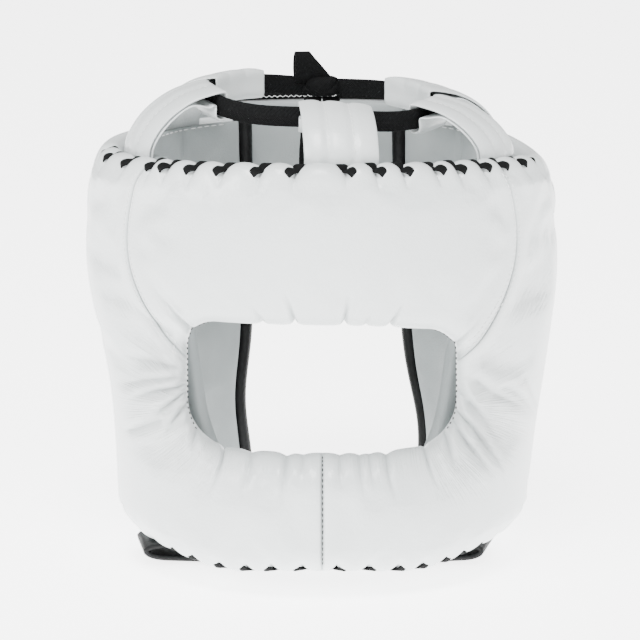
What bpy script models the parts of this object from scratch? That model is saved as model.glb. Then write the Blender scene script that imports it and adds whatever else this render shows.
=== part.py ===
"""Boxing headgear with a padded face bar, at real size. Metres, +Z up, the face looks along -Y."""

import bpy
from math import asin, atan2, cos, exp, hypot, pi, radians, sin, sqrt
from mathutils import Vector

# Outer shape of the padded wall round the head
HALF_WIDTH = 0.120
FRONT_DEPTH = 0.119
REAR_DEPTH = 0.114
FACE_HEIGHT = 0.1985
TOP_RIM_Z = -0.0165
SIDE_DROOP = 0.005

# Share of the face height where the bar under the opening begins
BAR_TOP_DROP = 0.65

# Padding
PAD_THICKNESS = 0.028
TOP_THINNING = 0.36
TOP_THINNING_REACH = 0.24
BAR_FULLNESS = 0.005
LINING_THICKNESS = 0.009
ROLL_WIDTH = 0.015
SEAM_WIDTH = 0.009
LINING_ROLL = 0.010
LINING_EASE = 0.0012
LINING_SET_BACK = 0.0020
REST_GAP = 0.0003
SEAM_GAP = 0.0004

# How far each kind of edge draws the outer and the inner skin in, as shares of the thickness
RIM_CREST = (0.52, 0.60)
OPENING_CREST = (0.50, 0.62)
PANEL_SEAM_CREST = (0.14, 0.97)
BAR_SEAM_CREST = (0.12, 0.97)
WING_CREST = (0.35, 0.90)
LINING_RIM_CREST = (0.45, 0.55)
LINING_FRONT_CREST = (0.30, 0.60)
LINING_REAR_CREST = (0.15, 0.80)
FLAP_TOP_CREST = (0.15, 0.85)
FLAP_FOOT_CREST = (0.40, 0.60)
FLAP_SIDE_CREST = (0.45, 0.75)

# Eye opening in the face
OPENING_HALF_WIDTH = 0.0655
OPENING_HEIGHT = 0.062
OPENING_DROP = 0.079
OPENING_RADIUS = 0.014
OPENING_FOOT_RADIUS = 0.021

# Where the forehead panel's side seams run, in degrees round from the front
SEAM_TOP_TURN = 50.0
SEAM_BULGE_TURN = 11.0

# Rear edges of the two wings, and the tape that binds them
LEFT_REAR_GAP = 0.044
RIGHT_REAR_GAP = 0.043
RIGHT_REAR_FLARE = 0.013
BINDING_WIDTH = 0.007
BINDING_DEPTH = 0.016

# Back panel
BACK_PANEL_HALF_WIDTH = 0.072
BACK_PANEL_HEIGHT = 0.108
BACK_PANEL_RISE = 0.006
BACK_PANEL_THICKNESS = 0.008
BACK_BINDING_HEIGHT = 0.0045

# Crown lace and the folded loops that hold it
LACE_WIDTH = 0.010
LACE_THICKNESS = 0.0018
RING_RADIUS = 0.060
RING_SAG = 0.0015
RING_TILT = 0.055
LEATHER = 0.0014
LOOP_WIDTH = 0.036
FRONT_LOOP_OFFSET = 0.0065
LOOP_SEAT_DEPTH = 0.0030
LOOP_SEAT_INSET = 0.0004
EYE_CLEARANCE = 0.0011
EYE_REACH = 0.0075

# Knot at the back of the crown, and its free ends
KNOT_WIDTH = 0.020
KNOT_HEIGHT = 0.0108
KNOT_DEPTH = 0.015
KNOT_LIFT = 0.0008
BOW_HEIGHT = 0.013
BOW_DEPTH = 0.009
BOW_WIDTH = 0.0145
BOW_TURN = 0.25
BOW_LEAN = 0.25
TAIL_LENGTH = 0.070
TAIL_SPREAD = 0.0075
TAIL_SWAY = 0.006

# Chin strap
STRAP_WIDTH = 0.032
STRAP_THICKNESS = 0.003
STRAP_TURN = 69.0
STRAP_DROP = 0.0090
STRAP_SAG = 0.0012
STRAP_BULGE = 0.0865
STRAP_SHIFT = -0.0037
STRAP_SEAT = 0.0035
STRAP_SEAT_INSET = 0.0008

# Height of the face as a share from the top rim down, then shares of the half width and depths
FACE_ROWS = (
    ("drop", "width", "front", "rear"),
    (-0.05, 0.955, 0.885, 0.985),
    (0.06, 0.965, 0.895, 0.990),
    (0.18, 0.982, 0.900, 1.000),
    (0.31, 1.000, 0.895, 1.000),
    (0.42, 0.988, 0.885, 1.000),
    (0.54, 0.956, 0.905, 1.000),
    (0.68, 0.915, 0.965, 0.995),
    (0.80, 0.886, 1.000, 0.990),
    (0.93, 0.864, 0.995, 0.980),
    (1.06, 0.850, 0.975, 0.970),
)

# Share of the way round to the rear, then shares of the pad and lining thickness
THICKNESS_ROWS = (
    ("turn", "pad", "lining"),
    (0.00, 0.95, 1.00),
    (0.25, 1.00, 1.00),
    (0.55, 0.98, 1.00),
    (0.75, 0.70, 0.80),
    (0.90, 0.46, 0.60),
    (1.00, 0.40, 0.50),
)

# Spokes of a side pad from the opening's edge out to the rim and rear edge
SPOKE_ROWS = (
    ("spoke", "opening", "turn", "drop"),
    (0.00, 0.365, 0.000, 0.00),
    (0.20, 0.440, 0.480, 0.00),
    (0.36, 0.505, 1.000, 0.00),
    (0.47, 0.540, 1.000, 0.50),
    (0.58, 0.575, 1.000, 1.00),
    (0.72, 0.640, 0.560, 1.00),
    (0.86, 0.740, 0.250, 1.00),
    (1.00, 1.000, 0.000, 1.00),
)

# Creases that fan out over a cheek: spoke, where each starts and ends along it, depth and width
CHEEK_FOLDS = (
    ("spoke", "start", "end", "depth", "width"),
    (0.290, 0.02, 0.34, 0.0022, 0.018),
    (0.375, 0.02, 0.42, 0.0034, 0.016),
    (0.450, 0.03, 0.36, 0.0026, 0.015),
    (0.520, 0.02, 0.46, 0.0040, 0.016),
    (0.600, 0.03, 0.50, 0.0036, 0.017),
    (0.680, 0.04, 0.52, 0.0026, 0.020),
)

# Gathers along the opening's lower edge on each half of the bar: spoke and depth
BAR_GATHERS = (
    ("spoke", "depth"),
    (0.780, 0.0026),
    (0.845, 0.0020),
    (0.905, 0.0028),
    (0.955, 0.0020),
)

# Gathers along the opening's upper edge: place across the forehead and depth
BROW_GATHERS = (
    ("across", "depth"),
    (-0.86, 0.0026),
    (-0.42, 0.0030),
    (-0.16, 0.0024),
    (0.16, 0.0024),
    (0.50, 0.0030),
    (0.88, 0.0026),
)

# Width and reach of a gather, and how softly any fold starts, as shares of the pad
GATHER_WIDTH = 0.018
GATHER_REACH = 0.45
FOLD_START = 0.05

# Upright channels sewn into a side lining, as shares of its length
LINING_CHANNELS = (0.22, 0.50, 0.78)
CHANNEL_DEPTH = 0.0018
CHANNEL_WIDTH = 0.03

# Front edge of a side lining: share of the face height and degrees round from the front
LINING_FRONT = (
    ("drop", "turn"),
    (0.00, 56.0),
    (0.40, 50.0),
    (0.70, 49.0),
    (0.86, 36.0),
    (1.10, 30.0),
)

# Crown loops round the side of the head: degrees from the front, share of the loop width
SIDE_LOOPS = (
    ("name", "turn", "width"),
    ("crown_loop_left_front", -74.0, 1.08),
    ("crown_loop_left_rear", -130.0, 1.04),
    ("crown_loop_right_front", 66.0, 1.00),
    ("crown_loop_right_rear", 127.0, 1.04),
)

# Chin strap from its seat out to the bulge: share of the way out and of the drop below the rim
STRAP_RISE = (
    ("out", "down"),
    (0.10, 0.10),
    (0.52, 0.26),
    (0.86, 0.38),
)

# Then from the bulge to the middle: shares of the bulge, of the drop and of the sag
STRAP_FLOOR = (
    ("across", "down", "sag"),
    (1.000, 0.58, 0.0),
    (0.975, 0.80, 0.0),
    (0.920, 0.94, 0.0),
    (0.820, 1.00, 0.0),
    (0.450, 1.00, 0.65),
)

# Rows of faces across a pad, from the opening out to the rim, and columns of a crown loop
PAD_ROWS = 11
LOOP_COLUMNS = 5

# Edges sharper than this many degrees stay crisp
SHARP_ANGLE = 50

WHITE_LEATHER = ("white leather", (0.83, 0.85, 0.85), 0.38)
GREY_LINING = ("grey lining", (0.62, 0.65, 0.65), 0.55)
BLACK_LACE = ("black lace", (0.012, 0.013, 0.014), 0.85)
BLACK_LEATHER = ("black leather", (0.014, 0.015, 0.016), 0.50)


def column(table, name):
    return table[0].index(name)


def read(table, name, at):
    """A column's value between the rows of a table whose first column rises."""
    rows, k = table[1:], column(table, name)
    if at <= rows[0][0]:
        return rows[0][k]
    for low, high in zip(rows, rows[1:]):
        if at <= high[0]:
            share = (at - low[0]) / (high[0] - low[0])
            return low[k] + (high[k] - low[k]) * share
    return rows[-1][k]


def read_smooth(table, name, at, reach=0.05):
    """The same, with the corners between the rows rounded off."""
    return (read(table, name, at - reach) + 2 * read(table, name, at) + read(table, name, at + reach)) / 4


def rise(share):
    share = min(1.0, max(0.0, share))
    return share * share * (3 - 2 * share)


def roll(share):
    """Height of a quarter round at a share of its width."""
    share = min(1.0, max(0.0, share))
    return sqrt(1 - (1 - share) ** 2)


def hill(offset, width):
    return exp(-((offset / width) ** 2))


def half_width(drop):
    return HALF_WIDTH * read_smooth(FACE_ROWS, "width", drop)


def depth(turn, drop):
    front = FRONT_DEPTH * read_smooth(FACE_ROWS, "front", drop)
    rear = REAR_DEPTH * read_smooth(FACE_ROWS, "rear", drop)
    return front if cos(turn) > 0 else rear


def top_z(turn):
    """The top rim sinks a little towards the ears and stays down to the rear."""
    side = sin(min(abs(turn), pi / 2)) ** 2
    return TOP_RIM_Z - SIDE_DROOP * side


def level(turn, drop):
    """Height of a point at a share of the face height from the top rim down."""
    bottom = TOP_RIM_Z - FACE_HEIGHT
    return top_z(turn) + (bottom - top_z(turn)) * drop


def wall(turn, drop, inset):
    """A point of the wall: angle round from the front, height share, depth below the skin."""
    across = (half_width(drop) - inset) * sin(turn)
    along = -(depth(turn, drop) - inset) * cos(turn)
    return Vector((across, along, level(turn, drop)))


def rear_turn(side, drop):
    """How far round a wing reaches, for side -1 or 1."""
    gap = LEFT_REAR_GAP if side < 0 else RIGHT_REAR_GAP + RIGHT_REAR_FLARE * max(0.0, drop) ** 1.5
    return pi - asin(gap / (half_width(drop) - PAD_THICKNESS * read(THICKNESS_ROWS, "pad", 1.0) / 2))


def pad_thickness(turn, drop):
    """Thinner towards the top rim and the rear, and fuller along the bar."""
    full = read_smooth(THICKNESS_ROWS, "pad", abs(turn) / rear_turn(-1, drop))
    thinned = 1 - TOP_THINNING * full * (1 - rise(drop / TOP_THINNING_REACH))
    bar = BAR_FULLNESS * rise((drop - 0.62) / 0.16) * hill(turn, 0.75)
    return PAD_THICKNESS * full * thinned + bar


def lining_thickness(turn, drop):
    return LINING_THICKNESS * read_smooth(THICKNESS_ROWS, "lining", abs(turn) / rear_turn(-1, drop))


def wall_thickness(turn, drop):
    """The pad, the ease behind it and the lining."""
    return pad_thickness(turn, drop) + REST_GAP + LINING_EASE + lining_thickness(turn, drop)


def opening_edge(share):
    """A point of the opening's edge in the face, from the top centre (0) to the bottom centre (1)."""
    top, foot = OPENING_RADIUS, OPENING_FOOT_RADIUS
    top_flat, foot_flat = OPENING_HALF_WIDTH - top, OPENING_HALF_WIDTH - foot
    upright = OPENING_HEIGHT - top - foot
    along = share * (top_flat + foot_flat + (top + foot) * pi / 2 + upright)
    if along <= top_flat:
        return along, 0.0
    along -= top_flat
    if along <= top * pi / 2:
        a = along / top
        return top_flat + top * sin(a), top * (1 - cos(a))
    along -= top * pi / 2
    if along <= upright:
        return OPENING_HALF_WIDTH, top + along
    along -= upright
    if along <= foot * pi / 2:
        a = along / foot
        return foot_flat + foot * cos(a), OPENING_HEIGHT - foot * (1 - sin(a))
    return max(0.0, foot_flat - (along - foot * pi / 2)), OPENING_HEIGHT


def opening_place(share):
    """The same point as degrees round and height share."""
    x, down = opening_edge(share)
    drop = (OPENING_DROP + down) / FACE_HEIGHT
    return asin(x / half_width(drop)), drop


def seam_place(share):
    """A point of the forehead's side seam, from the opening's corner (0) to the top rim (1)."""
    turn, drop = opening_place(SPOKE_ROWS[1][1])
    bulge = radians(SEAM_BULGE_TURN) * sin(pi * share)
    return turn + (radians(SEAM_TOP_TURN) - turn) * share + bulge, drop * (1 - share)


def opening_distance(turn, drop):
    """How far a point of the face lies outside the opening's edge."""
    middle = (OPENING_DROP + OPENING_HEIGHT / 2) / FACE_HEIGHT
    x = abs(turn) * half_width(drop) * (sin(min(abs(turn), 1.0)) / max(min(abs(turn), 1.0), 1e-6))
    radius = OPENING_RADIUS if drop < middle else OPENING_FOOT_RADIUS
    dx = x - (OPENING_HALF_WIDTH - radius)
    dz = abs(drop - middle) * FACE_HEIGHT - (OPENING_HEIGHT / 2 - radius)
    return hypot(max(dx, 0.0), max(dz, 0.0)) - radius


def skins(turn, drop, edges, thickness):
    """Depth of the outer and inner skin where each edge of the pad is rolled or sewn down."""
    full, inner = 1.0, 1.0
    for distance, width, crest, back in edges:
        sunk = 1 - roll(distance / width)
        full *= 1 - crest * sunk
        inner *= 1 - (1 - back) * sunk
    return thickness * (1 - full), thickness * inner


def spaced(count, ends=0.5):
    """Shares from 0 to 1, closer together at both ends."""
    return [(1 - ends) * k / count + ends * (1 - cos(pi * k / count)) / 2 for k in range(count + 1)]


def new_material(finish):
    name, colour, roughness = finish
    made = bpy.data.materials.get(name)
    if made is None:
        made = bpy.data.materials.new(name)
        made.use_nodes = True
        shader = made.node_tree.nodes["Principled BSDF"]
        shader.inputs["Base Color"].default_value = (*colour, 1)
        shader.inputs["Roughness"].default_value = roughness
        shader.inputs["Metallic"].default_value = 0
    return made


def signed_volume(points, faces):
    return sum(
        points[f[0]].dot(points[f[k]].cross(points[f[k + 1]])) / 6
        for f in faces
        for k in range(1, len(f) - 1)
    )


def add_object(name, points, faces, finish):
    """A mesh object of its own, facing outwards and shaded smooth but for its real corners."""
    mesh = bpy.data.meshes.new(name)
    mesh.from_pydata([tuple(p) for p in points], [], faces)
    if signed_volume(points, faces) < 0:
        mesh.flip_normals()
    mesh.shade_smooth()
    mesh.set_sharp_from_angle(angle=radians(SHARP_ANGLE))
    obj = bpy.data.objects.new(name, mesh)
    obj.data.materials.append(new_material(finish))
    bpy.context.scene.collection.objects.link(obj)
    return obj


def add_pad(name, outer, inner, finish):
    """A closed pad from two grids of points with the same rows, joined round their edges."""
    rows, cols = len(outer), len(outer[0])
    points = [p for row in outer for p in row] + [p for row in inner for p in row]
    shift = rows * cols
    faces = []
    for i in range(rows - 1):
        for j in range(cols - 1):
            a, b = i * cols + j, (i + 1) * cols + j
            faces.append((a, a + 1, b + 1, b))
            faces.append((shift + a, shift + b, shift + b + 1, shift + a + 1))
    rim = [(i, 0) for i in range(rows)] + [(rows - 1, j) for j in range(1, cols)]
    rim += [(i, cols - 1) for i in range(rows - 2, -1, -1)] + [(0, j) for j in range(cols - 2, 0, -1)]
    rim = [i * cols + j for i, j in rim]
    for a, b in zip(rim, rim[1:] + rim[:1]):
        faces.append((a, b, shift + b, shift + a))
    return add_object(name, points, faces, finish)


def add_sweep(name, path, wide, thick, profile, finish):
    """A profile of (wide, thick) pairs carried along a path, with its two directions at each point."""
    points, faces, n = [], [], len(profile)
    for place, w, t in zip(path, wide, thick):
        points += [place + w * a + t * b for a, b in profile]
    for i in range(len(path) - 1):
        near, far = i * n, (i + 1) * n
        for k in range(n):
            k2 = (k + 1) % n
            faces.append((near + k, near + k2, far + k2, far + k))
    faces.append(tuple(range(n - 1, -1, -1)))
    faces.append(tuple(range((len(path) - 1) * n, len(path) * n)))
    return add_object(name, points, faces, finish)


def band_profile(width, thickness):
    w, t = width / 2, thickness / 2
    soft = t * 0.6
    return [(-w, -t + soft), (-w + soft, -t), (w - soft, -t), (w, -t + soft),
            (w, t - soft), (w - soft, t), (-w + soft, t), (-w, t - soft)]


def round_profile(width, thickness, sides=8):
    turns = [2 * pi * (k + 0.5) / sides for k in range(sides)]
    return [(width / 2 * cos(a), thickness / 2 * sin(a)) for a in turns]


def crease(value, table, out, place="spoke"):
    """Depth of the folds of a table at a spoke, which start softly and fade out along it."""
    total = 0.0
    for row in table[1:]:
        fold = dict(zip(table[0], row))
        start, reach = fold.get("start", 0.0), fold.get("end", GATHER_REACH)
        across = hill(value - fold[place], fold.get("width", GATHER_WIDTH))
        along = rise((out - start) / FOLD_START) * (1 - rise((out - start) / reach))
        total += fold["depth"] * across * along
    return total


def brow_place(across, up):
    """A point of the forehead panel: -1 to 1 across it, 0 to 1 from the opening to the top rim."""
    seam_share = SPOKE_ROWS[1][1]
    low_turn, low_drop = opening_place(abs(across) * seam_share)
    edge_turn, edge_drop = seam_place(up)
    corner_turn, corner_drop = opening_place(seam_share)
    side = abs(across)
    turn = low_turn + (radians(SEAM_TOP_TURN) * side - low_turn) * up
    turn += (edge_turn - (corner_turn + (radians(SEAM_TOP_TURN) - corner_turn) * up)) * side
    drop = low_drop * (1 - up) + (edge_drop - corner_drop * (1 - up)) * side
    return turn * (1 if across >= 0 else -1), drop


def square_to_face(turn, drop, inset, share):
    """Carries a point straight back into the wall, not towards the middle of the head."""
    straight = asin(min(0.98, sin(abs(turn)) * half_width(drop) / (half_width(drop) - inset)))
    return (abs(turn) + (straight - abs(turn)) * share) * (1 if turn >= 0 else -1)


def make_forehead():
    across, up = spaced(28, 0.25), spaced(PAD_ROWS, 0.75)
    outer, inner = [], []
    for a in across:
        outer_row, inner_row = [], []
        for v in up:
            place = 2 * a - 1
            turn, drop = brow_place(place, v)
            seam_turn = seam_place(v)[0]
            edges = (
                (drop * FACE_HEIGHT, ROLL_WIDTH, *RIM_CREST),
                (opening_distance(turn, drop), ROLL_WIDTH, *OPENING_CREST),
                ((seam_turn - abs(turn)) * HALF_WIDTH, SEAM_WIDTH, *PANEL_SEAM_CREST),
            )
            thick = pad_thickness(turn, drop)
            skin, back = skins(turn, drop, edges, thick)
            skin += crease(place, BROW_GATHERS, v, "across")
            square = (1 - v) ** 2
            outer_row.append(wall(square_to_face(turn, drop, skin, square), drop, skin))
            inner_row.append(wall(square_to_face(turn, drop, back, square), drop, back))
        outer.append(outer_row)
        inner.append(inner_row)
    return add_pad("forehead_pad", outer, inner, WHITE_LEATHER)


def spoke_place(side, spoke, out):
    """A point of a side pad: along the spokes from the forehead seam (0) to the bar's seam (1)."""
    near_turn, near_drop = opening_place(read(SPOKE_ROWS, "opening", spoke))
    share, far_drop = read(SPOKE_ROWS, "turn", spoke), read(SPOKE_ROWS, "drop", spoke)
    start = radians(SEAM_TOP_TURN) if far_drop < 0.5 else 0.0
    far_turn = start + (rear_turn(side, far_drop) - start) * share
    turn = near_turn + (far_turn - near_turn) * out
    drop = near_drop + (far_drop - near_drop) * out
    seam = (1 - rise(spoke / 0.20)) * radians(SEAM_BULGE_TURN) * sin(pi * out)
    return turn + seam, drop


def spoke_seam_turn(drop):
    corner_drop = opening_place(SPOKE_ROWS[1][1])[1]
    return seam_place(1 - min(1.0, drop / corner_drop))[0] if drop < corner_drop else -1.0


def make_side_pad(name, side):
    spokes = sorted(set(spaced(34, 0.1)) | {row[0] for row in SPOKE_ROWS[3:6]})
    out = spaced(PAD_ROWS, 0.75)
    middle_gap = REST_GAP / 2 / FRONT_DEPTH
    outer, inner = [], []
    for u in spokes:
        outer_row, inner_row = [], []
        for v in out:
            turn, drop = spoke_place(side, u, v)
            seam_turn = spoke_seam_turn(drop)
            gap_turn = SEAM_GAP / HALF_WIDTH * (1 - rise(u / 0.08))
            edges = [
                (drop * FACE_HEIGHT, ROLL_WIDTH, *RIM_CREST),
                ((1 - drop) * FACE_HEIGHT, ROLL_WIDTH, *RIM_CREST),
                (opening_distance(turn, drop), ROLL_WIDTH, *OPENING_CREST),
                ((rear_turn(side, drop) - turn) * HALF_WIDTH, SEAM_WIDTH, *WING_CREST),
            ]
            if seam_turn > 0:
                edges.append(((turn - seam_turn) * HALF_WIDTH, SEAM_WIDTH, *PANEL_SEAM_CREST))
            if drop > BAR_TOP_DROP:
                edges.append((turn * FRONT_DEPTH, SEAM_WIDTH, *BAR_SEAM_CREST))
            thick = pad_thickness(turn, drop)
            skin, back = skins(turn, drop, edges, thick)
            skin += crease(u, CHEEK_FOLDS, v) + crease(u, BAR_GATHERS, v)
            turn = max(turn, middle_gap) + gap_turn
            square = (1 - v) ** 2
            outer_row.append(wall(side * square_to_face(turn, drop, skin, square), drop, skin))
            inner_row.append(wall(side * square_to_face(turn, drop, back, square), drop, back))
        outer.append(outer_row)
        inner.append(inner_row)
    return add_pad(name, outer, inner, WHITE_LEATHER)


def make_side_lining(name, side):
    """The soft lining inside a side pad, with upright sewn channels."""
    along, down = spaced(20, 0.15), spaced(8, 0.6)
    set_back = LINING_SET_BACK / FACE_HEIGHT
    outer, inner = [], []
    for a in along:
        outer_row, inner_row = [], []
        for v in down:
            drop = set_back + (1 - 2 * set_back) * v
            front = radians(read_smooth(LINING_FRONT, "turn", drop))
            rear = rear_turn(side, drop) - REST_GAP / HALF_WIDTH
            turn = front + (rear - front) * a
            thick = lining_thickness(turn, drop)
            edges = (
                (drop * FACE_HEIGHT, LINING_ROLL, *LINING_RIM_CREST),
                ((1 - drop) * FACE_HEIGHT, LINING_ROLL, *LINING_RIM_CREST),
                ((turn - front) * HALF_WIDTH, LINING_ROLL, *LINING_FRONT_CREST),
                ((rear - turn) * HALF_WIDTH, LINING_ROLL, *LINING_REAR_CREST),
            )
            skin, back = skins(turn, drop, edges, thick)
            groove = CHANNEL_DEPTH * sum(hill(a - c, CHANNEL_WIDTH) for c in LINING_CHANNELS)
            base = pad_thickness(turn, drop) + REST_GAP + LINING_EASE
            outer_row.append(wall(side * turn, drop, base + skin))
            inner_row.append(wall(side * turn, drop, base + max(back - groove, skin + LEATHER)))
        outer.append(outer_row)
        inner.append(inner_row)
    return add_pad(name, outer, inner, GREY_LINING)


def make_rear_binding(name, side):
    """The black tape down a wing's rear edge."""
    path, wide, thick = [], [], []
    set_back = LINING_SET_BACK / FACE_HEIGHT
    for share in spaced(9, 0.2):
        drop = set_back + (1 - 2 * set_back) * share
        turn = rear_turn(side, drop) + (BINDING_WIDTH / 2 + REST_GAP) / half_width(drop)
        place = wall(side * turn, drop, wall_thickness(turn, drop) / 2)
        outward = Vector((place.x, place.y, 0)).normalized()
        path.append(place)
        thick.append(outward)
        wide.append(Vector((-outward.y, outward.x, 0)))
    profile = round_profile(BINDING_WIDTH, BINDING_DEPTH)
    return add_sweep(name, path, wide, thick, profile, BLACK_LEATHER)


def back_turn_reach():
    return asin(BACK_PANEL_HALF_WIDTH / HALF_WIDTH)


def back_drop(share):
    """Height share of the back panel, from its top edge (0) to its bottom (1)."""
    top = -BACK_PANEL_RISE / FACE_HEIGHT
    return top + BACK_PANEL_HEIGHT / FACE_HEIGHT * share


def make_back_panel():
    """The flap that closes the gap between the two wings from outside."""
    across, down = spaced(18, 0.2), spaced(6, 0.6)
    outer, inner = [], []
    for a in across:
        outer_row, inner_row = [], []
        for v in down:
            drop = back_drop(v)
            turn = pi + (2 * a - 1) * back_turn_reach()
            edges = (
                (v * BACK_PANEL_HEIGHT, BACK_PANEL_THICKNESS, *FLAP_TOP_CREST),
                ((1 - v) * BACK_PANEL_HEIGHT, BACK_PANEL_THICKNESS, *FLAP_FOOT_CREST),
                ((1 - abs(2 * a - 1)) * BACK_PANEL_HALF_WIDTH, BACK_PANEL_THICKNESS, *FLAP_SIDE_CREST),
            )
            skin, back = skins(turn, drop, edges, BACK_PANEL_THICKNESS)
            lift = BACK_PANEL_THICKNESS + REST_GAP
            outer_row.append(wall(turn, drop, skin - lift))
            inner_row.append(wall(turn, drop, back - lift))
        outer.append(outer_row)
        inner.append(inner_row)
    return add_pad("back_panel", outer, inner, WHITE_LEATHER)


def make_back_binding():
    """The black stitched tape along the back panel's top edge."""
    path, wide, thick = [], [], []
    for a in spaced(18, 0.2):
        drop = back_drop(0)
        turn = pi + (2 * a - 1) * back_turn_reach() * 0.97
        place = wall(turn, drop, -BACK_PANEL_THICKNESS / 2 - REST_GAP)
        place.z += BACK_BINDING_HEIGHT / 2 + REST_GAP
        path.append(place)
        thick.append(Vector((place.x, place.y, 0)).normalized())
        wide.append(Vector((0, 0, 1)))
    profile = band_profile(BACK_BINDING_HEIGHT, BACK_PANEL_THICKNESS * 0.8)
    return add_sweep("back_panel_binding", path, wide, thick, profile, BLACK_LACE)


def ring_height(turn):
    """The lace sags a little between the loops and hangs lower on the right."""
    return -RING_SAG * sin(2.5 * turn) ** 2 - RING_TILT * RING_RADIUS * sin(turn)


def ring_point(turn):
    return Vector((RING_RADIUS * sin(turn), -RING_RADIUS * cos(turn), ring_height(turn)))


def make_crown_lace():
    """The flat lace round the crown, on edge, open where its ends run into the knot."""
    reach = pi - (KNOT_WIDTH / 2 + REST_GAP) / RING_RADIUS
    path, wide, thick = [], [], []
    steps = 48
    for k in range(steps + 1):
        turn = -reach + 2 * reach * k / steps
        path.append(ring_point(turn))
        thick.append(Vector((sin(turn), -cos(turn), 0)))
        wide.append(Vector((0, 0, 1)))
    profile = band_profile(LACE_WIDTH, LACE_THICKNESS)
    return add_sweep("crown_lace", path, wide, thick, profile, BLACK_LACE)


def loop_outline(run, drop_to_rim):
    """Middle line of a folded loop in the upright plane through it: distance out from the lace and height."""
    half = LACE_WIDTH / 2 + EYE_CLEARANCE + LEATHER / 2
    room = LACE_THICKNESS / 2 + EYE_CLEARANCE + LEATHER / 2
    apart = LEATHER + REST_GAP
    climb = half + drop_to_rim
    rim = (run, -drop_to_rim - LOOP_SEAT_DEPTH)
    upper = [rim] + [(run * cos(a), climb * sin(a) - drop_to_rim) for a in map(radians, (6, 20, 36, 53, 70))]
    eye = [(-room * 0.45, half), (-room, half * 0.72), (-room, 0)]
    eye += [(-room, -half * 0.72), (-room * 0.45, -half)]
    under = [(room * 0.45, -half), (room, -half * 0.72), (room, half * 0.05)]
    meet = asin(min(1.0, max(0.5, (climb - apart) / climb)))
    meet = min(meet, radians(62))
    lower = [(run * cos(a) - apart * cos(a), climb * sin(a) - drop_to_rim - apart * sin(a)) for a in
             (meet, meet * 0.68, meet * 0.36, radians(6))]
    step = (max(room + LEATHER * 0.6, min(EYE_REACH, lower[0][0]) * 0.75), lower[0][1] - apart * 0.6)
    return upper + eye + under + [step] + lower + [(run - apart, rim[1])]


def rim_seat(around):
    """Distance out from the middle and height of a loop's seat at an angle round the head."""
    turn = around
    for _ in range(3):
        inset = pad_thickness(turn, 0) - LOOP_SEAT_INSET
        turn = atan2(sin(around) / (half_width(0) - inset), cos(around) / (depth(turn, 0) - inset))
    seat = wall(turn, 0, pad_thickness(turn, 0) - LOOP_SEAT_INSET)
    return hypot(seat.x, seat.y), seat.z


def make_loop(name, turn, width, offset=0.0):
    """A strap folded over the lace, with both ends held between a pad and its lining at the rim."""
    turn += offset / RING_RADIUS
    outer, inner = [], []
    for k in range(LOOP_COLUMNS):
        aside = width * (k / (LOOP_COLUMNS - 1) - 0.5)
        rim_out, rim_z = rim_seat(turn + aside / rim_seat(turn)[0])
        height = ring_height(turn + aside / RING_RADIUS)
        outline = loop_outline(rim_out - RING_RADIUS, height - rim_z)
        rows = ([], [])
        for n, (x, z) in enumerate(outline):
            before, after = outline[max(n - 1, 0)], outline[min(n + 1, len(outline) - 1)]
            slope = Vector((after[0] - before[0], after[1] - before[1])).normalized()
            around = turn + aside / (RING_RADIUS + x)
            for row, lift in zip(rows, (LEATHER / 2, -LEATHER / 2)):
                far, high = RING_RADIUS + x + slope.y * lift, z - slope.x * lift + height
                row.append(Vector((far * sin(around), -far * cos(around), high)))
        outer.append(rows[0])
        inner.append(rows[1])
    return add_pad(name, outer, inner, WHITE_LEATHER)


def knot_centre():
    return ring_point(pi) + Vector((0, 0, KNOT_LIFT))


def make_knot():
    """The hand knot where the lace's two ends meet."""
    centre, sides, rings = knot_centre(), 14, 9
    points, faces = [], []
    for i in range(1, rings):
        up = pi * i / rings - pi / 2
        for k in range(sides):
            a = 2 * pi * k / sides
            lump = 1 + 0.07 * sin(3 * a + 2.0 * up) + 0.05 * sin(2 * a - 3 * up)
            x = KNOT_WIDTH / 2 * abs(cos(up)) ** 0.6 * cos(a) * lump
            y = KNOT_DEPTH / 2 * abs(cos(up)) ** 0.6 * sin(a) * lump
            x = max(-KNOT_WIDTH / 2, min(KNOT_WIDTH / 2, x))
            points.append(centre + Vector((x, y, KNOT_HEIGHT / 2 * sin(up))))
    low, high = len(points), len(points) + 1
    points += [centre - Vector((0, 0, KNOT_HEIGHT / 2)), centre + Vector((0, 0, KNOT_HEIGHT / 2))]
    for i in range(rings - 2):
        for k in range(sides):
            a, b = i * sides + k, i * sides + (k + 1) % sides
            faces.append((a, b, b + sides, a + sides))
    last = (rings - 2) * sides
    for k in range(sides):
        faces.append((low, (k + 1) % sides, k))
        faces.append((high, last + k, last + (k + 1) % sides))
    return add_object("lace_knot", points, faces, BLACK_LACE)


def make_bow():
    """The single bow loop that stands up out of the knot and folds over to the rear."""
    foot = knot_centre() + Vector((-KNOT_WIDTH * 0.30, 0, KNOT_HEIGHT / 2 + REST_GAP + LACE_THICKNESS * 0.6))
    path, wide, thick = [], [], []
    aside = Vector((cos(BOW_TURN), sin(BOW_TURN), 0))
    back = Vector((-sin(BOW_TURN), cos(BOW_TURN), 0))
    steps = 14
    for k in range(steps + 1):
        a = radians(-72 + 324 * k / steps)
        deep, high = BOW_DEPTH / 2 * cos(a), BOW_HEIGHT / 2 * (1 + sin(a))
        path.append(foot + back * deep - aside * (BOW_LEAN * high) + Vector((0, 0, high)))
        thick.append((back * (cos(a) / BOW_DEPTH) + Vector((0, 0, sin(a) / BOW_HEIGHT))).normalized())
        wide.append(aside)
    profile = band_profile(BOW_WIDTH, LACE_THICKNESS)
    return add_sweep("lace_bow", path, wide, thick, profile, BLACK_LACE)


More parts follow.
